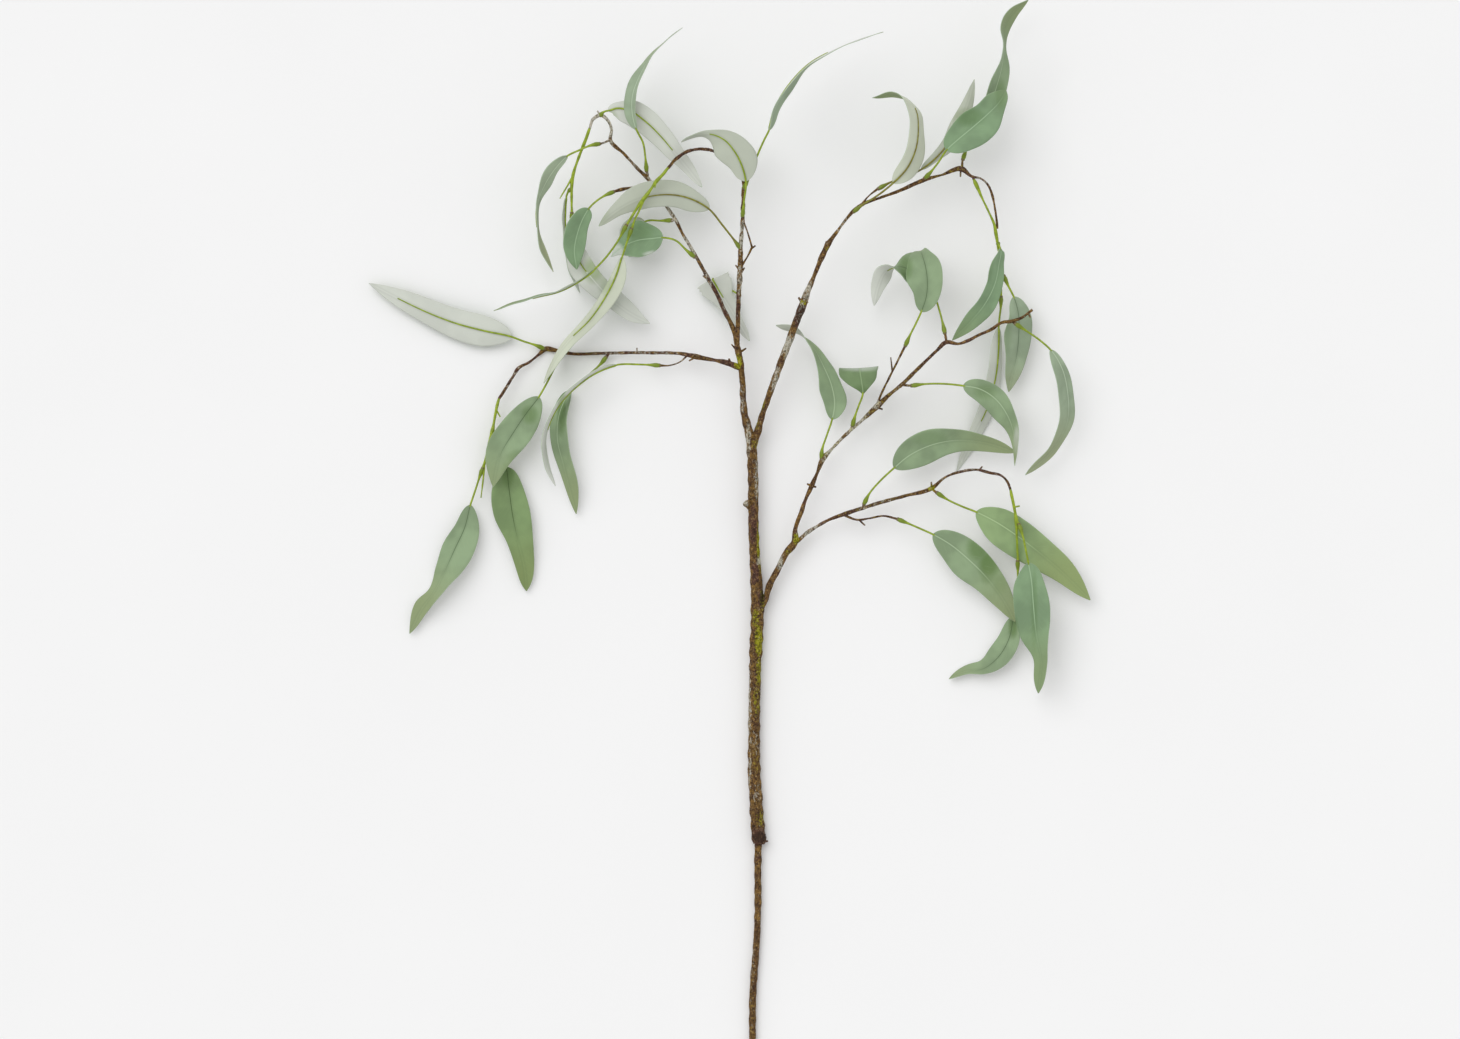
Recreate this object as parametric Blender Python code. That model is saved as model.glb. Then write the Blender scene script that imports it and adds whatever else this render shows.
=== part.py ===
"""Artificial eucalyptus branch with long narrow leaves, lying on a table.

The branch lies on its back: its stem runs along Y, its tip points to +Y and the leaves' show side
faces +Z. Every piece is laid out on a sheet in millimetres, with x to the right, y down the sheet
from its upper edge and z up from the table. at() turns a sheet point into a world point in metres.
"""

import math

import bmesh
import bpy
import numpy as np
from mathutils import Vector

MM = 0.001

# Layout sheet
SHEET_MIDDLE_X = 729.5
SHEET_MIDDLE_Y = 547.0

# Gap between pieces that touch
SEAM = 0.3

# Stems
STEM_SIDES = 8
TWIG_SIDES = 6
SPUR_SIDES = 5

# Leaf stalk: a cone-shaped socket on the twig, then a thin round stalk that runs on as the blade's rib
SOCKET_ROOT_RADIUS = 1.3
SOCKET_RADIUS = 2.4
SOCKET_ROUND = 2.5
SOCKET_LENGTH = 13.0
STALK_RADIUS = 1.1

# Leaf blade
BLADE_THICKNESS = 0.8
BLADE_TIP_HALF_WIDTH = 0.5
BLADE_BASE_POWER = 0.55
BLADE_TIP_POWER = 0.85
CUP_DEGREES = 10.0
RIB_HEIGHT = 1.3
RIB_SHARE = 0.66
STALK_STEPS = (0.35, 0.7, 0.96)
BLADE_STEPS = (0.0, 0.03, 0.08, 0.16, 0.26, 0.37, 0.48, 0.59, 0.7, 0.8, 0.89, 0.96, 1.0)

# Corners of a leaf's cross-section, all of six: side of the rib and face of the blade
LEAF_SIDES = (-1, 0, 1, 1, 0, -1)
LEAF_FACES = (1, 1, 1, -1, -1, -1)

# Material colours: linear red, green, blue
BARK_COLOUR = (0.105, 0.075, 0.04)
GREEN_PLASTIC_COLOUR = (0.25, 0.36, 0.02)
LEAF_COLOUR = (0.23, 0.37, 0.25)


def clear_scene():
    for obj in list(bpy.data.objects):
        bpy.data.objects.remove(obj, do_unlink=True)


def material(name, colour, roughness):
    made = bpy.data.materials.new(name)
    made.use_nodes = True
    shader = made.node_tree.nodes["Principled BSDF"]
    shader.inputs["Base Color"].default_value = (*colour, 1.0)
    shader.inputs["Roughness"].default_value = roughness
    shader.inputs["Metallic"].default_value = 0.0
    made.diffuse_color = (*colour, 1.0)
    return made


def at(x, y, z):
    """World point in metres of a sheet point in millimetres."""
    return Vector((x - SHEET_MIDDLE_X, SHEET_MIDDLE_Y - y, z)) * MM


def unit(rows):
    return rows / np.linalg.norm(rows, axis=-1, keepdims=True)


class Curve:
    """Smooth curve through rows of numbers whose first three are x, y and z."""

    def __init__(self, rows):
        self.rows = np.array(rows, float)
        steps = np.linalg.norm(np.diff(self.rows[:, :3], axis=0), axis=1)
        self.knots = np.concatenate([[0.0], np.cumsum(steps)])
        self.slopes = np.gradient(self.rows, self.knots, axis=0)

    def read(self, distances):
        """The rows at these distances along the curve."""
        place = np.clip(np.searchsorted(self.knots, distances, "right") - 1, 0, len(self.knots) - 2)
        span = (self.knots[place + 1] - self.knots[place])[:, None]
        t = (np.asarray(distances)[:, None] - self.knots[place][:, None]) / span
        start = self.rows[place] * (1 + 2 * t) * (1 - t) ** 2
        end = self.rows[place + 1] * t**2 * (3 - 2 * t)
        leave = self.slopes[place] * span * t * (1 - t) ** 2
        arrive = self.slopes[place + 1] * span * t**2 * (t - 1)
        return start + end + leave + arrive


def frames(points, up_index=0):
    """Along, side and up directions at each point, carried along the path without spin.

    At the point up_index, up is as near to +Z as the path allows.
    """
    forward = unit(np.gradient(points, axis=0))
    up = np.zeros_like(forward)
    start = np.array((0.0, 0.0, 1.0))
    up[up_index] = unit(start - forward[up_index] * (forward[up_index] @ start))
    onward = range(up_index + 1, len(points))
    backward = range(up_index - 1, -1, -1)
    for order, step in ((onward, -1), (backward, 1)):
        for i in order:
            carried = up[i + step]
            up[i] = unit(carried - forward[i] * (forward[i] @ carried))
    return forward, np.cross(forward, up), up


def loft(name, rings, sides):
    """Closed body through rings of sheet points.

    sides holds each corner's place across the section. Every quad is split from its lower side to its
    higher one, so a thin section is split alike on its two faces.
    """
    count = len(sides)
    bm = bmesh.new()
    ring_of = bm.verts.layers.int.new("ring")
    corner_of = bm.verts.layers.int.new("corner")
    ring = bmesh.ops.create_circle(bm, segments=count, radius=1.0)["verts"]
    edges = list(bm.edges)
    for corner, vert in enumerate(ring):
        vert[corner_of] = corner
        vert.co = at(*rings[0][corner])
    for number, points in enumerate(rings[1:], 1):
        made = bmesh.ops.extrude_edge_only(bm, edges=edges)["geom"]
        ring = [item for item in made if isinstance(item, bmesh.types.BMVert)]
        edges = [item for item in made if isinstance(item, bmesh.types.BMEdge) and set(item.verts) <= set(ring)]
        for vert in ring:
            vert[ring_of] = number
            vert.co = at(*points[vert[corner_of]])

    def order(vert):
        return (vert[ring_of], sides[vert[corner_of]], vert[corner_of])

    for face in list(bm.faces):
        bmesh.utils.face_split(face, min(face.verts, key=order), max(face.verts, key=order))
    bmesh.ops.holes_fill(bm, edges=bm.edges, sides=count)
    bmesh.ops.triangulate(bm, faces=[face for face in bm.faces if len(face.verts) > 3])
    bmesh.ops.recalc_face_normals(bm, faces=bm.faces)
    mesh = bpy.data.meshes.new(name)
    bm.to_mesh(mesh)
    bm.free()
    obj = bpy.data.objects.new(name, mesh)
    bpy.context.scene.collection.objects.link(obj)
    return obj


def tube(name, rows, sides, extra=0.0):
    """Round body along rows of x, y, z and radius, a flat of it facing down."""
    rows = np.array(rows, float)
    points = rows[:, :3]
    _, side, up = frames(points)
    turns = (np.arange(sides) + 0.5) * math.tau / sides
    rings = [
        [points[i] + (rows[i, 3] + extra) * (math.cos(a) * side[i] + math.sin(a) * up[i]) for a in turns]
        for i in range(len(rows))
    ]
    return loft(name, rings, range(sides))


def combine(obj, others, operation):
    """Applies one Boolean of the other bodies to obj, then removes them."""
    group = bpy.data.collections.new("others")
    bpy.context.scene.collection.children.link(group)
    for other in others:
        bpy.context.scene.collection.objects.unlink(other)
        group.objects.link(other)
    modifier = obj.modifiers.new("combine", "BOOLEAN")
    modifier.operation = operation
    modifier.solver = "EXACT"
    modifier.operand_type = "COLLECTION"
    modifier.collection = group
    graph = bpy.context.evaluated_depsgraph_get()
    mesh = bpy.data.meshes.new_from_object(obj.evaluated_get(graph))
    obj.modifiers.clear()
    obj.data = mesh
    for other in others:
        bpy.data.objects.remove(other)
    bpy.data.collections.remove(group)


def stem_body(name, sides, path, spurs, extra=0.0):
    """A stem along its path with its spurs and side twigs fused in."""
    body = tube(name, path, sides, extra)
    twigs = [tube(name + "_spur", spur, SPUR_SIDES, extra) for spur in spurs]
    if twigs:
        combine(body, twigs, "UNION")
    return body


def make_stem(name, look, sides, path, spurs=(), carrier=None):
    """A stem node, its root cut back to the surface of the stem that carries it."""
    body = stem_body(name, sides, path, spurs)
    if carrier:
        combine(body, [stem_body("clearance", *STEMS[carrier][1:], extra=SEAM)], "DIFFERENCE")
    finish(body, look)


def finish(body, look):
    body.data.materials.clear()
    body.data.materials.append(look)
    body.data.shade_smooth()
    body.data.set_sharp_from_angle(angle=math.radians(40))


def blade_half_width(share, width):
    """Half the blade's usual width at this share of its length."""
    peak = BLADE_BASE_POWER / (BLADE_BASE_POWER + BLADE_TIP_POWER)
    highest = peak**BLADE_BASE_POWER * (1 - peak) ** BLADE_TIP_POWER
    half = width / 2 * share**BLADE_BASE_POWER * (1 - share) ** BLADE_TIP_POWER / highest
    return max(half, STALK_RADIUS if share < 0.5 else BLADE_TIP_HALF_WIDTH)


def make_leaf(name, look, carrier, width, stalk, blade):
    """A leaf node: socket, stalk and ribbed blade in one body.

    stalk holds rows of x, y, z from the twig to the blade. blade holds rows of x, y, z, tilt, left
    fullness and right fullness from the blade's base to its tip. At a tilt of 0 the upper side faces
    +Z and at 180 the underside does, and a small positive tilt raises the left edge, looking from
    base to tip.
    """
    curve = Curve([(*point, *blade[0][3:]) for point in stalk] + list(blade))
    base = curve.knots[len(stalk)]
    length = curve.knots[-1] - base
    socket_end = min(SOCKET_LENGTH, 0.6 * base)
    distances = [0.0, SOCKET_ROUND, socket_end]
    distances += [socket_end + share * (base - socket_end) for share in STALK_STEPS]
    radii = [SOCKET_ROOT_RADIUS, SOCKET_RADIUS] + [STALK_RADIUS] * (len(distances) - 2)
    distances += [base + share * length for share in BLADE_STEPS]
    rows = curve.read(np.array(distances))
    points = rows[:, :3]
    _, side, up = frames(points, len(radii))
    rings = []
    for i, point in enumerate(points):
        tilt = math.radians(rows[i, 3])
        across = math.cos(tilt) * side[i] + math.sin(tilt) * up[i]
        above = math.cos(tilt) * up[i] - math.sin(tilt) * side[i]
        if i < len(radii):
            turn = math.radians(30)
            wide, high = radii[i] * math.cos(turn), radii[i] * math.sin(turn)
            spots = [(s * wide, f * (high if s else radii[i])) for s, f in zip(LEAF_SIDES, LEAF_FACES)]
        else:
            share = BLADE_STEPS[i - len(radii)]
            usual = blade_half_width(share, width)
            halves = {1: usual * rows[i, 4], -1: usual * rows[i, 5], 0: 0.0}
            rib = RIB_HEIGHT * max(0.0, 1 - share / RIB_SHARE)
            spots = []
            for s, f in zip(LEAF_SIDES, LEAF_FACES):
                half = halves[s]
                height = f * BLADE_THICKNESS / 2 + half * math.sin(math.radians(CUP_DEGREES))
                if s == 0 and f < 0:
                    height -= rib
                spots.append((s * half * math.cos(math.radians(CUP_DEGREES)), height))
        rings.append([point + u * across + v * above for u, v in spots])
    body = loft(name, rings, LEAF_SIDES)
    combine(body, [stem_body("clearance", *STEMS[carrier][1:], extra=SEAM)], "DIFFERENCE")
    finish(body, look)


# Stems. Each has its carrier, its number of sides, its path and its spurs, as rows of x, y, z, radius.
STEMS = {
    "stem_lower": (
        "stem_main",
        STEM_SIDES,
        [
            (752, 1094, 3.3, 3.5), (752.5, 1040, 3.9, 3.5), (753, 990, 4.6, 3.7),
            (756, 950, 5.1, 3.5), (758, 905, 5.7, 3.5), (757.7, 870, 6.1, 3.6),
            (758.4, 840, 6.4, 3.8),
        ],
        [],
    ),
    "stem_main": (
        None,
        STEM_SIDES,
        [
            (758.5, 844, 6.4, 5.6), (758.7, 841, 6.4, 6.9), (757.8, 828, 6.4, 6.9),
            (756.3, 804.1, 6.4, 6.9), (754.3, 773.1, 6.8, 6.5), (754, 742, 7.4, 6.1),
            (754.2, 712, 8, 6), (754.9, 681, 8.7, 6.1), (756.1, 645, 9.5, 6.5),
            (757.2, 620, 10, 6.7), (757, 591, 10.6, 6.3), (755, 560, 11.4, 5.6),
            (753.4, 520, 12.8, 5.3), (753, 480, 14.2, 5.3), (751.8, 450.1, 15.5, 5.4),
            (749.5, 434, 17, 4.6), (745.1, 418.1, 19, 3.9), (742.6, 385, 24, 3.1),
            (740.4, 362, 28, 3.3), (737, 343.1, 31, 3.3), (738, 323, 33, 2.6),
            (738.6, 295, 37, 2.5), (740.2, 268, 41, 2.8), (740.7, 249, 43, 2.4),
            (742.6, 219, 47, 2.3), (743.2, 195, 50, 2.2), (743.4, 180, 52, 2.1),
            (740.5, 166, 54, 2), (730, 156, 56, 1.9), (715, 152, 58, 1.9), (701, 149.7, 59.5, 1.9),
            (688, 152, 60, 1.9), (677, 159, 60, 1.9), (668, 169, 59, 1.8),
        ],
        [
            [(760, 842, 8, 2.2), (768, 841, 10, 1)],
            [(754, 509, 13, 3), (746.5, 503, 15, 2.4)],
            [(739, 353, 29, 1.6), (746, 348.5, 32, 1)],
            [(737, 351, 29, 1.4), (731.5, 344.5, 32, 0.8)],
            [(740.5, 268, 41, 1.5), (749, 254, 43, 1.1), (751.5, 248.5, 43.5, 1.4)],
            [
                (742.5, 220, 47, 1.3), (745.5, 227, 47.5, 1), (749.5, 239, 46, 1),
                (752, 248, 44.5, 1.4),
            ],
            [(751, 249, 44, 1.3), (755.5, 246, 44.5, 0.9)],
            [(740, 271, 41, 1.5), (735.5, 265.5, 42, 0.9)],
            [(740.5, 274, 40, 1.4), (744.5, 268, 41, 0.9)],
        ],
    ),
    "branch_left_upper": (
        "stem_main",
        TWIG_SIDES,
        [
            (737, 345, 30, 2.5), (733.5, 330, 31, 2.5), (724, 310, 32, 2.4), (716, 292.5, 33, 2.3),
            (708.2, 278.9, 34, 2.29), (697.9, 260, 35, 2), (690.9, 248, 36, 2),
            (682.9, 234.6, 36.5, 1.7), (675, 219, 37, 2.1), (666, 206, 37.5, 1.9),
            (657, 193, 38, 1.9), (648, 179, 39, 2.2), (639.3, 170.7, 39.5, 1.88),
            (624.4, 154.6, 41, 1.75), (610.5, 139.5, 43, 2.2), (611.7, 131, 44, 1.7),
            (608, 121, 45.5, 1.7), (600.6, 115.9, 46.5, 2.18), (593.4, 119.7, 46.5, 1.88),
            (590, 129, 46, 1.7),
        ],
        [
            [(648, 179, 39, 1.5), (646.8, 171, 41, 1.6)],
            [
                (657, 193, 38, 1.4), (641, 187, 37, 1.2), (628, 188.5, 37, 1.4),
                (621, 190, 37, 2.2), (614, 192, 37, 1.5),
            ],
            [(611, 140, 43, 1.5), (605, 143, 44, 1.2), (600, 144.5, 45, 1.6)],
            [(698, 260, 35, 1.5), (694.5, 257, 36, 1.6)],
            [(675, 219, 37, 1.5), (672, 221.5, 37, 1.6)],
            [(708, 280, 34, 1.5), (703, 276, 36, 0.9)],
            [(601, 117, 46.5, 1.4), (597.5, 111.5, 47, 0.9)],
        ],
    ),
    "branch_left_side": (
        "stem_main",
        TWIG_SIDES,
        [
            (740, 368, 26.5, 3.1), (727, 363, 24.5, 2.9), (713.7, 360.1, 22, 2.04),
            (696.9, 357, 19, 2.88), (680, 353.6, 16.5, 2.04), (655, 352.9, 13.5, 1.95),
            (630, 352.8, 11, 1.88), (600, 353.4, 8, 1.88), (572, 353.7, 5.5, 2),
            (554, 350, 3.6, 2.3), (545.6, 349, 2.8, 2.75), (539, 354.5, 4, 1.7),
            (528.3, 362.9, 6, 1.61), (518.9, 367.9, 8, 2), (512.8, 377, 9, 1.75),
            (506, 388, 10.5, 1.8), (499, 399, 12, 1.7),
        ],
        [
            [(730, 364, 25, 1.8), (729, 359, 28, 1.2)],
            [(697, 356.5, 19, 1.5), (689, 361, 20, 0.9)],
            [
                (688, 355, 17.5, 1.2), (680, 362, 17, 0.9), (669, 365.6, 17, 0.9),
                (660, 365.6, 17, 1.6),
            ],
            [(637, 352.5, 12, 1.2), (637, 348, 13, 0.8)],
            [(563, 352.5, 5, 1.4), (560, 356, 7, 1.6)],
            [(609, 353.6, 9, 1.4), (606.5, 357, 8.5, 1.6)],
        ],
    ),
    "branch_right_upper": (
        "stem_main",
        TWIG_SIDES,
        [
            (752.5, 448, 15.5, 3.6), (757.5, 432, 17.5, 3.8), (762.1, 415.9, 20, 3),
            (769.3, 394.6, 24, 3.25), (776.8, 374.1, 28, 3.45), (782.8, 357.5, 31, 3.62),
            (788.9, 342, 34, 3.75), (795, 324.8, 37, 3.68), (802.8, 304.9, 41, 4.12),
            (806.8, 293.1, 43, 3.45), (810.9, 284, 45, 2.75), (816.5, 270.2, 47, 2.25),
            (821.7, 257.4, 49, 2.88), (827.4, 245.6, 50, 2.99), (837.8, 230.8, 51, 1.75),
            (845.9, 219.9, 52, 1.75), (852.3, 212.6, 53, 2.07), (862.2, 204.9, 54, 2.18),
            (878, 199, 55, 1.7), (897.5, 192.1, 56, 1.95), (922.6, 181, 56, 2.3),
            (941.2, 175.5, 56, 1.5), (961.4, 169.7, 55, 2.88), (971.6, 177.2, 53, 1.72),
            (979.9, 178.9, 51, 1.27), (986.6, 184.3, 48.5, 1.27), (992, 196, 45, 1.5),
            (994.4, 208.1, 41.5, 1.19), (996, 219, 38, 1.4), (997, 229, 36, 1.3),
        ],
        [
            [(823, 253, 49.5, 1.8), (827, 242, 52, 2)],
            [(803, 305, 41, 2), (807.5, 302, 44, 1.3)],
            [(802, 303, 41, 2), (798.5, 298, 44, 1.2)],
            [(862, 204, 54, 1.3), (868, 197, 56, 0.9), (878, 189, 58, 1.5)],
            [(961.4, 170, 55, 1.5), (962, 160, 56, 1.3)],
            [(960.5, 169, 55, 1.2), (960, 177.5, 54, 0.9)],
            [(922.6, 182, 56, 1.4), (924, 178, 57, 1.6)],
            [(972, 176.5, 53, 1.3), (973.4, 180, 53, 1.5)],
        ],
    ),
    "branch_right_middle": (
        "stem_main",
        TWIG_SIDES,
        [
            (757.5, 616, 10.5, 3), (765, 600, 12, 3), (769.5, 585.6, 12.5, 3.33),
            (778, 569, 13.2, 3.22), (785.8, 553.9, 14, 3.33), (795, 541, 15, 3.7),
            (795.2, 529.7, 16, 2.5), (801.2, 512.1, 17, 2.53), (806.2, 497.8, 18, 2),
            (811.6, 486, 19, 2.7), (817.1, 473, 21, 1.87), (822.1, 460.5, 23, 2.99),
            (831.9, 448.9, 25, 1.78), (850.3, 430.4, 28, 2), (862.4, 419.9, 30.5, 1.88),
            (876.2, 407.2, 33, 3.1), (890.4, 393.8, 36, 2), (902, 384.4, 38, 2.2),
            (914.3, 372.3, 40, 2.18), (925.5, 361.4, 42, 1.88), (936.4, 350.9, 43.5, 1.88),
            (946, 342.5, 45, 2.4), (958, 344, 45.5, 1.7), (967, 341.1, 46, 1.95),
            (979, 335.1, 46, 1.75), (991.6, 329.4, 46, 1.95), (1001, 323, 45.5, 1.8),
            (1011.5, 321.5, 45, 2), (1022, 317.5, 45, 1.6), (1032, 310, 44.5, 1.5),
        ],
        [
            [(811.6, 486, 19, 1.8), (807, 484, 21, 1)],
            [(811.6, 486, 19, 1.8), (816, 487, 21, 1)],
            [(823, 461, 23, 1.5), (820.5, 458, 24, 1.6)],
            [(850, 430, 28, 1.5), (852.5, 426, 29, 1.6)],
            [
                (876, 407, 33, 1.7), (882, 392, 35.5, 1.3), (888, 380, 38, 1.3),
                (897, 362, 42, 1.3), (905, 346, 45, 1.6),
            ],
            [(892, 371, 40, 1.1), (890.5, 357.5, 41, 0.7)],
            [(876, 407, 33, 1.5), (882.5, 409.5, 34, 0.9)],
            [(902, 385, 38, 1.4), (911.5, 386, 38, 1.5)],
            [(946, 342, 45, 1.5), (944.6, 333, 44.5, 1.5)],
            [(1011.5, 321.5, 45, 1.4), (1015, 324, 45, 1.5)],
            [(1028, 314, 44.7, 1.1), (1030, 318, 45, 0.8)],
        ],
    ),
    "branch_right_lower": (
        "branch_right_middle",
        TWIG_SIDES,
        [
            (795.5, 543, 15, 2), (808, 532, 15.5, 2.2), (819.1, 525.2, 16, 1.88),
            (830.7, 519, 17, 1.88), (844, 514.2, 18.5, 2.4), (863, 508, 20.5, 2.1),
            (883.9, 501.5, 22.5, 2.18), (906.2, 495.6, 24.5, 1.88), (931.5, 488.3, 27, 2.4),
            (944.7, 477.5, 29, 1.44), (961.2, 471.6, 30.5, 1.84), (976, 469.8, 31.5, 1.38),
            (990.5, 473, 32, 1.88), (1001, 475.6, 32, 1.38), (1006.7, 481.2, 32, 1.38),
            (1010.3, 490, 32, 1.6),
        ],
        [
            [
                (844, 515, 18.5, 1.6), (857, 519.8, 19, 1.3), (869, 518.4, 19.5, 1.2),
                (884, 516, 20, 1.2), (897.5, 519, 20.5, 1.5),
            ],
            [(859, 519.8, 19, 1.2), (865, 525.5, 20, 0.8)],
            [(863, 508, 20.5, 1.4), (863.4, 504, 22, 1.6)],
            [(931.5, 488.3, 27, 1.5), (931, 482, 29, 0.9)],
            [(931.5, 488.3, 27, 1.5), (936.5, 493, 27, 1.5)],
            [(979, 470, 31.5, 1.2), (982, 466.5, 33, 0.8)],
        ],
    ),
    "twig_leader": (
        "stem_main",
        TWIG_SIDES,
        [
            (668.6, 168.2, 59, 1.6), (664, 174, 58.6, 1.9), (657, 181.5, 58, 2.1),
            (650.5, 190.5, 57, 1.7), (645, 198, 56, 2.4), (638, 207.5, 55, 1.8),
            (632, 217, 54, 1.6), (627, 225, 53, 1.6),
        ],
        [
            [(656.5, 182, 58, 1.3), (655, 188.5, 60, 0.7)],
            [
                (644.5, 199, 56, 1.7), (639.5, 211, 54.5, 1.2), (634.5, 221.5, 52, 1.2),
                (632, 229, 50.5, 1.6),
            ],
        ],
    ),
    "twig_left_upper": (
        "branch_left_upper",
        TWIG_SIDES,
        [
            (590.2, 128, 46, 1.5), (588, 134.5, 45, 1.9), (584, 145, 43, 1.9), (580, 155, 41, 1.7),
            (576, 166, 39, 1.6), (573, 177, 37, 2.1), (571.8, 188, 35.5, 1.9),
            (571.8, 200, 34, 1.5), (572, 213, 33, 1.5),
        ],
        [
            [(573, 177, 37, 1.4), (566, 189, 37, 1), (560, 199, 37, 0.7)],
        ],
    ),
    "twig_left_side": (
        "branch_left_side",
        TWIG_SIDES,
        [
            (499.4, 398.2, 12, 1.5), (497.4, 405, 12.4, 1.9), (494.5, 420, 13, 1.5),
            (492, 433, 13.5, 2.3), (488.6, 446, 13, 1.6), (485.5, 460, 12.4, 1.6),
            (483, 468, 12, 2),
        ],
        [
            [(497, 411, 12.6, 1.2), (500.5, 417, 13.5, 0.7)],
            [(484.5, 466, 12, 1.3), (483, 482, 13, 1), (481, 498, 13, 0.7)],
            [(492, 433, 13.5, 1.4), (494, 437, 12, 1.5)],
        ],
    ),
    "twig_right_upper": (
        "branch_right_upper",
        TWIG_SIDES,
        [
            (973, 179, 53, 1.3), (974.6, 182.5, 52.6, 2.1), (981, 197, 50, 1.4),
            (988.5, 213, 47, 1.3), (993.6, 224, 44, 1.7), (995.6, 234, 41.5, 2.1),
            (997.4, 245, 38.5, 1.7), (999.4, 257, 35, 1.4), (1000.5, 270, 31, 1.8),
            (1000.7, 284, 28, 1.4), (1000.7, 297, 26, 1.6),
        ],
        [
            [(1000.5, 270, 31, 1.3), (1003.5, 276, 30, 1.4)],
        ],
    ),
    "twig_right_lower": (
        "branch_right_lower",
        TWIG_SIDES,
        [
            (1010.2, 489.2, 32, 1.4), (1011.5, 496, 32, 1.9), (1014, 508, 32, 1.6),
            (1016, 521, 31.5, 2.2), (1016.4, 533, 30.5, 1.5), (1017, 547, 29, 1.4),
            (1017.6, 561, 27.5, 1.5),
        ],
        [
            [(1013.8, 507, 32, 1.2), (1019.5, 506, 33, 0.8)],
            [(1016, 521, 31.5, 1.4), (1019, 524, 33.5, 1.5)],
        ],
    ),
}

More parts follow.
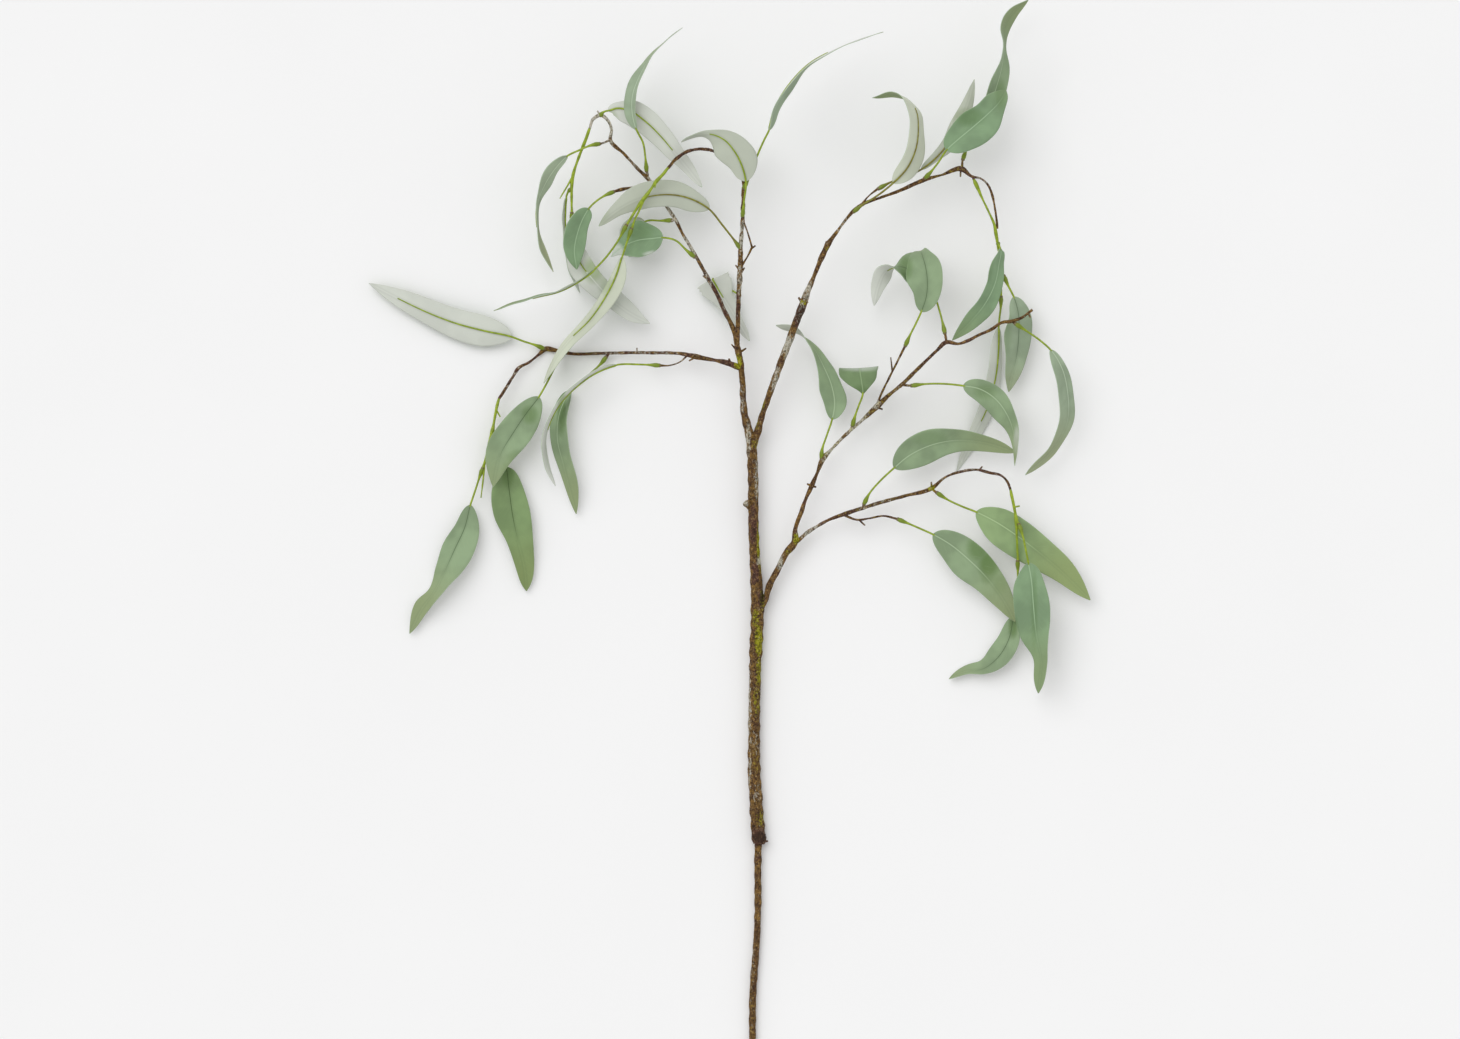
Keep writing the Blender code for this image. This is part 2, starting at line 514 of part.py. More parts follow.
# Leaves. Each has its carrier, its blade's usual width, its stalk as rows of x, y, z, and its blade as
# rows of x, y, z, tilt, and how full the blade is on its left and on its right, 1 being the usual.
LEAVES = {
    "leaf_side_1": (
        "branch_left_side",
        37,
        [(545, 349, 4.5), (535, 345, 8), (524, 341.5, 10)],
        [
            (512, 337, 11, 180, 1, 1), (485, 331, 12, 176, 0.95, 1.05),
            (458, 324, 12, 174, 0.8, 0.88), (431, 314, 11, 176, 0.8, 0.7),
            (400, 299.5, 10, 178, 0.9, 0.68), (369, 283.4, 9, 180, 0.9, 0.7),
        ],
    ),
    "leaf_side_2": (
        "branch_left_side",
        30,
        [(661, 365.6, 17), (640, 364.6, 19)],
        [
            (617, 365, 22, 120, 0.6, 0.6), (597.5, 372, 25.5, 112, 0.42, 0.7),
            (576, 387, 28, 108, 0.45, 0.8), (556, 410, 28, 108, 0.5, 0.6),
            (545.5, 440, 25, 112, 0.6, 0.5), (547, 464, 22, 124, 0.6, 0.7),
            (555.6, 486, 19, 150, 0.7, 0.7),
        ],
    ),
    "leaf_side_3": (
        "branch_left_side",
        27,
        [(607, 356, 8.5), (602, 362.5, 8), (590, 374, 8.5)],
        [
            (570.8, 391, 8, 40, 1, 1), (560.5, 411, 10.5, 44, 1.06, 0.76),
            (557.5, 437, 12, 42, 1.14, 0.62), (564, 466, 11, 36, 1.05, 0.54),
            (570, 490, 9, 28, 1.4, 0.5), (576.3, 514, 7, 20, 1.3, 0.7),
        ],
    ),
    "leaf_side_4": (
        "twig_left_side",
        34,
        [(483.4, 467, 12), (480, 476, 11.5), (475.5, 490, 10.5)],
        [
            (470.5, 505, 10, 4, 1, 0.8), (465, 527, 10, 4, 1.15, 0.72),
            (455, 549, 9.5, 10, 1.2, 0.78), (445, 571, 9.5, 24, 1.05, 0.62),
            (434, 593, 9, 50, 0.9, 0.6), (422, 609, 8.5, 20, 0.75, 0.95),
            (409.7, 633.6, 6, 4, 1, 1),
        ],
    ),
    "leaf_side_5": (
        "branch_left_side",
        34,
        [(560.8, 355, 7.5), (554, 369, 14), (547, 383, 18)],
        [
            (539, 397, 21, -6, 1, 0.8), (527.5, 412, 23, -4, 1.08, 0.82),
            (514, 432, 24, 2, 1.1, 0.95), (500.5, 455, 23, 4, 1.04, 1.15), (493, 487, 21, 8, 1, 1),
        ],
    ),
    "leaf_side_6": (
        "twig_left_side",
        37,
        [(493.6, 436, 12.3), (499, 450, 9.6)],
        [
            (506, 467, 8.5, 0, 1, 1.1), (509, 488, 8, 2, 0.94, 1.15), (512.5, 514, 8, 4, 1, 1),
            (519, 545, 7.5, 4, 0.96, 0.66), (524.5, 568, 6, 0, 1, 0.85),
            (526.5, 591, 5, -6, 1.4, 1.3),
        ],
    ),
    "leaf_leader_1": (
        "stem_main",
        32,
        [(743, 190, 51), (750, 176, 54), (757, 157, 58), (764, 141, 62)],
        [
            (769, 131, 64, 74, 1, 1), (774, 112, 67, 74, 1, 0.92), (788, 87.5, 69, 78, 0.84, 0.94),
            (808.5, 65.5, 69, 84, 0.6, 0.5), (837, 49.5, 67, 90, 0.4, 0.4),
            (860, 40, 65, 92, 0.35, 0.35), (883, 33, 64, 94, 0.35, 0.35),
        ],
    ),
    "leaf_leader_2": (
        "stem_main",
        35,
        [(742.4, 218, 47), (744, 202, 55)],
        [
            (745.8, 182, 62, 180, 1, 1), (742, 167, 65, 184, 1.2, 0.8),
            (735, 153, 67, 186, 1, 0.98), (724, 140.5, 68, 178, 0.68, 1.05),
            (708, 134.5, 67, 150, 0.6, 0.8), (694, 137, 65, 118, 0.8, 0.9),
            (681.5, 143, 63, 112, 1, 1),
        ],
    ),
    "leaf_leader_3": (
        "stem_main",
        33,
        [(741.3, 250, 43), (733, 239, 44), (722, 225, 45.5)],
        [
            (709, 209.5, 47, 178, 0.8, 1), (697, 202, 47.5, 180, 0.72, 1),
            (678, 196, 48, 182, 0.88, 0.78), (655, 196, 48, 180, 0.94, 0.72),
            (634, 202, 47.5, 176, 1, 0.74), (615, 213, 47, 176, 0.8, 0.62),
            (599, 226.6, 46, 178, 1, 1),
        ],
    ),
    "leaf_leader_4": (
        "twig_leader",
        26,
        [(632, 228, 50.5), (627.6, 241, 50)],
        [
            (622.5, 257, 49, 208, 0.7, 1), (616.5, 276, 46, 206, 0.6, 1.1),
            (606, 297, 41, 200, 0.5, 0.85), (590, 320, 34, 196, 0.48, 0.58),
            (569, 341, 26, 222, 0.55, 0.7), (556, 358, 23, 240, 0.9, 1.1),
            (544, 383.5, 21, 226, 1, 1),
        ],
    ),
    "leaf_leader_5": (
        "twig_leader",
        20,
        [(627.2, 224.6, 53), (617, 243, 52), (606, 258, 51)],
        [
            (595, 269.5, 50, 100, 0.6, 0.6), (579, 281.5, 49, 96, 0.6, 0.6),
            (560, 291.5, 47, 92, 0.6, 0.6), (537, 297.5, 45, 84, 0.6, 0.6),
            (514, 304, 43, 70, 0.6, 0.5), (494, 311, 42, 60, 0.6, 0.6),
        ],
    ),
    "leaf_upper_1": (
        "branch_left_upper",
        33,
        [(600.5, 117, 46.5), (603, 113.2, 49.2), (606, 111.8, 50.2)],
        [
            (609, 111.3, 50.6, 180, 1, 1), (617, 109, 51.4, 182, 1.2, 0.7),
            (628, 110.5, 52.4, 185, 1.1, 0.8), (645, 121.5, 53, 186, 0.86, 0.8),
            (661, 137, 52.5, 184, 0.72, 0.7), (676, 155, 51, 180, 0.66, 0.68),
            (690, 172, 49, 176, 0.6, 0.8), (702, 187.6, 47, 172, 1, 1),
        ],
    ),
    "leaf_upper_2": (
        "branch_left_upper",
        24,
        [(646.8, 172.6, 41), (645.5, 158, 47), (643, 143, 56)],
        [
            (636.5, 130, 61, -34, 1, 0.6), (632.5, 113, 63, -42, 0.95, 0.52),
            (633, 96, 64, -50, 0.84, 0.5), (639, 79, 64, -60, 0.84, 0.46),
            (651, 58, 63, -76, 0.5, 0.5), (667, 41, 62, -88, 0.35, 0.35),
            (682.6, 28.7, 61, -88, 0.3, 0.3),
        ],
    ),
    "leaf_upper_3": (
        "branch_left_upper",
        33,
        [(695.5, 258, 36), (687, 251, 37.5), (675, 240.5, 38)],
        [
            (663, 238, 38, 0, 1, 1), (651, 239, 38.5, 4, 1.02, 1.02),
            (639, 240.5, 38, 14, 1.12, 1.2), (629, 244, 36.5, 34, 1.3, 0.9),
            (619, 250, 34, 50, 1.2, 1), (611, 257, 31, 58, 1, 1),
        ],
    ),
    "leaf_upper_4": (
        "branch_left_upper",
        34,
        [(673, 220.6, 37), (662, 221, 31)],
        [
            (645, 222, 25, 184, 1, 1), (637, 231, 23, 184, 1, 1), (634, 243, 18, 180, 1, 1),
            (633, 251, 9.5, 178, 1, 1), (629, 257, 4, 176, 1, 1),
        ],
    ),
    "leaf_upper_5": (
        "branch_left_upper",
        26,
        [(601, 144.2, 45), (591, 146, 48.5), (579, 151, 49.5)],
        [
            (567.6, 156.5, 49, -42, 0.7, 1.2), (557, 167, 47, -48, 0.54, 1.3),
            (546, 183, 43, -56, 0.64, 0.94), (538, 203, 38, -80, 0.46, 0.5),
            (537.5, 227, 34, -88, 0.3, 0.3), (543, 249, 30, -70, 0.5, 1.1),
            (553.5, 272, 26, -70, 0.8, 0.9),
        ],
    ),
    "leaf_upper_6": (
        "branch_left_upper",
        28,
        [(615, 191.7, 37), (605, 196, 40)],
        [
            (589, 209, 43, -22, 1, 1), (582.5, 220, 43.5, -24, 0.68, 1.06),
            (577.5, 234, 43, -20, 0.72, 1.06), (574.5, 250, 41, -16, 0.95, 1.04),
            (577, 270, 38, -12, 1, 1),
        ],
    ),
    "leaf_upper_7": (
        "twig_left_upper",
        30,
        [(572, 212, 33), (572, 226, 30.5)],
        [
            (573, 240, 30, 196, 1, 1), (580, 262, 31, 196, 1.12, 0.86),
            (596, 283, 30, 190, 0.9, 0.66), (618, 305, 27, 180, 0.66, 1),
            (636, 317, 25, 172, 0.98, 1.16), (650, 323.5, 23, 166, 1, 1),
        ],
    ),
    "leaf_upper_8": (
        "twig_left_upper",
        22,
        [(571.8, 189, 35.5), (568.5, 192, 33)],
        [
            (566.5, 197, 30, 110, 0.6, 0.6), (565, 213, 26, 106, 0.48, 0.6),
            (565.5, 235, 21, 104, 0.4, 0.6), (570, 262, 14, 108, 0.68, 0.6),
            (580, 293, 8, 116, 1, 0.6),
        ],
    ),
    "leaf_leader_6": (
        "stem_main",
        44,
        [(739.6, 296, 36), (737.5, 294, 22), (731, 290, 9), (721, 284.5, 8)],
        [
            (712.5, 279.3, 13, 180, 5, 5), (713.2, 280.7, 12.9, 180, 2.6, 2.6),
            (714.6, 283, 12.7, 180, 1.55, 1.55), (717, 287.3, 12.5, 180, 1.06, 1.06),
            (721, 294, 12.7, 180, 0.66, 0.66), (728.5, 306, 14, 180, 0.42, 0.4),
            (739, 323, 16, 180, 0.32, 0.3), (749.5, 341, 17, 180, 0.5, 0.5),
        ],
    ),
    "leaf_right_1": (
        "branch_right_upper",
        30,
        [(852.6, 213, 53), (862, 205.6, 57), (876, 197, 60)],
        [
            (893, 183.5, 63, 184, 1, 1), (907, 168, 66, 212, 1.2, 0.78),
            (915, 150, 68, 226, 1.04, 0.72), (917.5, 130, 69, 236, 0.8, 0.74),
            (915.5, 112, 68, 244, 0.8, 0.88), (908, 100.5, 66, 262, 0.8, 1),
            (893, 95, 63, 290, 0.8, 1), (872, 98.6, 61, 296, 1, 1),
        ],
    ),
    "leaf_right_2": (
        "branch_right_upper",
        37,
        [(924, 179.4, 57), (931, 172, 62), (938, 163, 66)],
        [
            (946, 151, 69, 0, 1, 1), (958, 140, 71, 0, 0.9, 1), (973, 127.5, 71, 2, 0.95, 1.1),
            (986, 116, 69, 6, 0.88, 1.1), (997, 105, 66, 10, 1.2, 0.8),
            (1002, 98, 61, 12, 1.2, 0.8), (1005.5, 91, 53, 14, 1, 1),
        ],
    ),
    "leaf_right_3": (
        "branch_right_upper",
        30,
        [(962, 161.4, 56), (966, 150, 53.5), (974, 134, 50)],
        [
            (983, 113, 47.5, 40, 1, 1), (992, 98, 46.5, 42, 1, 1), (997.5, 82, 46.5, 52, 1, 1),
            (1002, 64, 47, 66, 1, 0.8), (1004, 47, 48, 78, 1, 0.35), (1003.5, 29, 48, 60, 1, 0.8),
            (1012, 13.5, 48, 44, 1, 1), (1028, 0.4, 48, 40, 1, 1),
        ],
    ),
    "leaf_right_4": (
        "branch_right_upper",
        34,
        [(877, 190, 58), (890, 183, 56), (905, 177.5, 52)],
        [
            (921, 170, 48, 178, 0.3, 0.5), (934, 160, 46, 180, 0.25, 0.4),
            (947, 145, 45, 182, 0.5, 0.38), (958, 126, 44, 180, 0.6, 0.54),
            (968, 103, 43, 176, 0.5, 0.56), (974, 80, 42, 170, 0.6, 0.6),
        ],
    ),
    "leaf_right_5": (
        "twig_right_upper",
        27,
        [(997.2, 243, 38.5), (998.8, 246, 41)],
        [
            (1000, 249, 41.5, -48, 0.8, 1), (998.5, 264, 41, -44, 0.6, 1.2),
            (994.5, 284, 36, -26, 0.64, 0.74), (984, 305, 34, -18, 0.9, 0.72),
            (969, 323, 33, -14, 0.96, 0.98), (952, 340.5, 33, -10, 1, 1),
        ],
    ),
    "leaf_right_6": (
        "twig_right_upper",
        27,
        [(1003, 275, 30), (1008, 286, 28)],
        [
            (1013.5, 297, 25, -6, 1, 1), (1018, 313, 23, -10, 1.05, 0.86),
            (1018.5, 334, 20, -12, 0.98, 1.18), (1016, 358, 17, -8, 0.9, 1),
            (1011, 378, 15, -4, 1.12, 1), (1008.5, 392, 14, 0, 1.2, 1),
        ],
    ),
    "leaf_right_7": (
        "twig_right_upper",
        30,
        [(1000.7, 295.6, 26), (1000.5, 308, 22), (999.3, 318, 19)],
        [
            (998.5, 328, 18, 142, 0.8, 0.6), (998, 350, 15, 142, 0.7, 0.5),
            (995.5, 376, 12.3, 146, 0.62, 0.5), (987, 408, 8.3, 158, 0.6, 0.6),
            (973, 437, 4.4, 170, 0.6, 0.7), (956.5, 472, 0.55, 178, 0.8, 0.8),
        ],
    ),
    "leaf_middle_1": (
        "branch_right_middle",
        32,
        [(821.3, 459.6, 23.4), (822, 450, 25), (826.5, 436, 26)],
        [
            (832, 419.5, 26, 4, 1, 1), (834.5, 404, 26, 6, 0.92, 1.02),
            (831.5, 386, 25.5, 12, 0.9, 0.64), (823, 366, 24, 40, 0.58, 0.58),
            (812, 346.5, 22.5, 62, 0.56, 0.44), (796, 332, 21, 110, 0.8, 0.8),
            (776, 325.4, 20, 150, 1, 1),
        ],
    ),
    "leaf_middle_2": (
        "branch_right_middle",
        41,
        [(852, 427, 29), (855, 416, 33), (858.5, 406, 37)],
        [
            (862.6, 394, 41, 0, 1, 0.9), (861.4, 382, 44, 0, 0.8, 0.62),
            (860, 373, 44.5, 0, 1.02, 0.85), (859.6, 368.5, 40, 0, 1.04, 0.94),
            (861, 370, 34, 0, 1.1, 0.94), (863, 374, 24, 0, 1.1, 0.94), (864, 379, 13, 0, 1, 1),
        ],
    ),
    "leaf_middle_3": (
        "branch_right_middle",
        32,
        [(904.6, 347, 45), (909, 337, 47.5), (915, 325, 50)],
        [
            (921, 312, 52, -6, 1, 1), (926, 297, 54.5, -8, 0.98, 0.98),
            (927, 280, 56, -10, 1.3, 1.04), (924.5, 264, 56, -8, 1.25, 1.02),
            (922, 256, 52, -6, 1.06, 0.7), (921, 252, 44, -4, 1, 0.6), (921, 251, 34, -2, 1, 0.6),
            (921.5, 251, 22, 0, 1, 1),
        ],
    ),
    "leaf_middle_4": (
        "branch_right_middle",
        30,
        [(944.8, 334.6, 44.6), (942.5, 324, 43), (939.5, 312, 42)],
        [
            (936, 301, 41, 0, 1, 1), (930, 289, 41, 0, 1, 1), (920, 278, 41.5, 6, 0.92, 1.2),
            (908, 269.5, 42, 28, 0.9, 1.3), (896, 267, 40, 76, 0.9, 1.1),
            (885, 272.5, 37.5, 128, 0.86, 1.1), (878.5, 286, 36, 152, 0.92, 0.86),
            (873.8, 306, 34, 166, 1, 1),
        ],
    ),
    "leaf_middle_5": (
        "branch_right_middle",
        34,
        [(910, 386, 38), (925, 384.2, 39), (943, 384, 40)],
        [
            (963, 386, 40, 0, 0.9, 1), (979, 389, 40, 2, 0.75, 0.9), (995, 399, 39, 10, 0.7, 0.85),
            (1007, 415, 37, 30, 0.6, 0.8), (1014.5, 438, 34, 52, 0.64, 0.5),
            (1014.5, 466, 31, 60, 1, 1),
        ],
    ),
    "leaf_middle_6": (
        "branch_right_middle",
        28,
        [(1014, 323.4, 45), (1028, 332.5, 45), (1040, 341, 44)],
        [
            (1050, 350, 43, -30, 0.6, 1.1), (1061.5, 369, 42, -34, 0.5, 1.1),
            (1067, 393, 41, -38, 0.5, 1), (1067, 420, 39, -40, 0.55, 1),
            (1053.5, 448, 36, -36, 0.5, 0.7), (1025, 475, 32, -20, 1, 1),
        ],
    ),
    "leaf_lower_1": (
        "branch_right_lower",
        34,
        [(863.4, 505, 22), (869, 494, 26), (880, 481, 29)],
        [
            (894, 468, 31, 8, 1.1, 1.1), (907, 457, 31.5, 12, 1.14, 1.12),
            (927, 446.5, 31, 22, 1.14, 1.02), (953, 440.5, 29, 28, 0.88, 0.78),
            (983, 442.5, 26, 24, 0.72, 0.78), (1016, 452.5, 23, 14, 1, 1),
        ],
    ),
    "leaf_lower_2": (
        "branch_right_lower",
        37,
        [(896.5, 518.7, 20.5), (907, 523, 21), (920, 528.6, 21)],
        [
            (933, 534.5, 21, 0, 1, 1), (949.5, 544, 21, 2, 0.98, 1),
            (968.5, 559.5, 20.5, 4, 0.98, 1.1), (989.5, 581, 20, 6, 0.94, 0.94),
            (1004.5, 602, 19.5, 6, 1, 0.98), (1015, 622, 19, 6, 1, 1),
        ],
    ),
    "leaf_lower_3": (
        "branch_right_lower",
        38,
        [(935.6, 492, 27), (948, 500, 25.5), (962, 506.5, 24)],
        [
            (976, 512, 23, 0, 1, 1.1), (994, 521, 22.5, 0, 1.04, 1.24),
            (1016.5, 535.5, 22, 2, 0.94, 1.12), (1041, 554, 21, 4, 0.9, 0.95),
            (1066, 576, 19, 4, 1.08, 0.8), (1090, 600, 16, 4, 1.1, 1),
        ],
    ),
    "leaf_lower_4": (
        "twig_right_lower",
        30,
        [(1017.4, 559.6, 27.5), (1017.6, 575, 22), (1016.5, 596, 13)],
        [
            (1013.5, 616, 12, 20, 0.9, 0.8), (1008.5, 640, 11, 22, 0.9, 0.8),
            (997.5, 658, 10, 26, 0.85, 0.84), (983, 669, 8.5, 34, 0.56, 0.74),
            (966, 671.5, 7, 46, 0.5, 0.88), (948.8, 679, 6, 50, 1, 1),
        ],
    ),
    "leaf_lower_5": (
        "twig_right_lower",
        38,
        [(1018.4, 523.4, 33.4), (1022.5, 536, 36.5), (1025.5, 550, 38)],
        [
            (1028, 563, 38, 0, 1, 1), (1031, 580, 38, 4, 0.86, 1.18),
            (1033, 604, 36.5, 8, 0.92, 1.05), (1036, 634, 34, 24, 0.85, 0.95),
            (1041, 660, 31, 46, 0.78, 0.74), (1038, 693, 28, 20, 1.1, 1.2),
        ],
    ),
}


def main():
    clear_scene()
    bark = material("painted_bark", BARK_COLOUR, 0.85)
    green = material("green_plastic", GREEN_PLASTIC_COLOUR, 0.5)
    fabric = material("leaf_fabric", LEAF_COLOUR, 0.8)
    for name, (carrier, sides, path, spurs) in STEMS.items():
        look = green if name.startswith("twig") else bark
        make_stem(name, look, sides, path, spurs, carrier)
    for name, (carrier, width, stalk, blade) in LEAVES.items():
        make_leaf(name, fabric, carrier, width, stalk, blade)


main()
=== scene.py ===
"""Artificial eucalyptus branch lying on a pale table, seen from straight above.

The branch is laid out on the same sheet as the CAD model: millimetres, x to the right, y down the
sheet from its upper edge and z up from the table. at() turns sheet points into world points.
"""

import math

import bmesh
import bpy
import numpy as np
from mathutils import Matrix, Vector, noise


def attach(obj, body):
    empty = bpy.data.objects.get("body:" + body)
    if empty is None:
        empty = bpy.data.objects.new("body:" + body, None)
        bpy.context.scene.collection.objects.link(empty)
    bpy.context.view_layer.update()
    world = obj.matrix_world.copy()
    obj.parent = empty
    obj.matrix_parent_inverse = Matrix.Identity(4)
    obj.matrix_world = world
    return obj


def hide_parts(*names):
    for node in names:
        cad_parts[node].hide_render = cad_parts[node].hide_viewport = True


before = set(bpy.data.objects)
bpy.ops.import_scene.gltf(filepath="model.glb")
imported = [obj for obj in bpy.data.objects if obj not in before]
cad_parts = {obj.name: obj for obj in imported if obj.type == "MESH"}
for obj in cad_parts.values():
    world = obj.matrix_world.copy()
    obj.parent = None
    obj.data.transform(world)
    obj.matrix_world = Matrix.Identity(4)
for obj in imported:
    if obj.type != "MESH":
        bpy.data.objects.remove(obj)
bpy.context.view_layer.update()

MM = 0.001

# Layout sheet
SHEET_MIDDLE_X = 729.5
SHEET_MIDDLE_Y = 547.0

# Camera
CAMERA_HEIGHT = 30.0
PHOTO_WIDTH = 1.46
PHOTO_MIDDLE = (0.0005, 0.0275)

# Stems: thinning gives radii, and the share of each that is kept
STEM_SIDES = 20
TWIG_SIDES = 16
SPUR_SIDES = 10
STEM_STEP = 1.0
FEWEST_RINGS = 6
THINNING = ((1.7, 3.0), (0.86, 1.0))
SWELL_SHARE = 0.05
SWELL_LENGTH = 2.3

# Bark: shares of a stem's radius, and lengths along and across it
RIDGE_SHARE = 0.14
RIDGE_LENGTH = 8
RIDGES_ROUND = 1.5
GRAIN_SHARE = 0.07
GRAIN_SIZE = 1.1
RELIEF_DROP = 0.04

# Leaf stalk: distance from its root and radius
SOCKET_SHAPE = (
    (0.0, 1.5), (0.7, 2.0), (1.5, 2.1), (2.1, 1.8), (3.0, 2.3),
    (5.5, 2.4), (8.0, 1.9), (11.5, 1.3), (15.0, 1.0),
)
STALK_RADIUS = 0.95
SOCKET_REACH = 14.0
WHOLE_SOCKET_STALK = 24
STALK_STEP = 1.2
STALK_SIDES = 10

# Rib: how far it runs along the blade, as a share of it, and how it sinks in
RIB_END_RADIUS = 0.55
RIB_SHARE = 0.64
RIB_SHARES = {
    "leaf_side_1": 0.8,
    "leaf_leader_2": 0.7,
    "leaf_leader_3": 0.58,
    "leaf_leader_6": 0.3,
    "leaf_upper_7": 0.3,
}
RIB_SINK = 0.12
RIB_SINK_LENGTH = 3

# Leaf blade: its halves rise from the middle line by the cup angle
BLADE_THICKNESS = 0.6
BLADE_TIP_HALF_WIDTH = 0.3
BLADE_BASE_POWER = 0.55
BLADE_TIP_POWER = 0.85
CUP_DEGREES = 10.0
CUPS = {"leaf_middle_2": 2.0}
CUP_POWER = 1.25
WAVE_HEIGHT = 0.4
WAVES_ALONG = 23
BLADE_COLUMNS = 16
BLADE_ROWS = 64
ROW_CROWDING = 0.11
SMOOTH_ANGLE = 50

# Where the CAD leaf has its cross-sections: two at the socket, then shares of its stalk and blade
SOCKET_STOP = 2.5
SOCKET_END = 13.0
SOCKET_END_SHARE = 0.6
STALK_STOPS = (0.35, 0.7, 0.96)
BLADE_STOPS = (0.0, 0.03, 0.08, 0.16, 0.26, 0.37, 0.48, 0.59, 0.7, 0.8, 0.89, 0.96, 1.0)

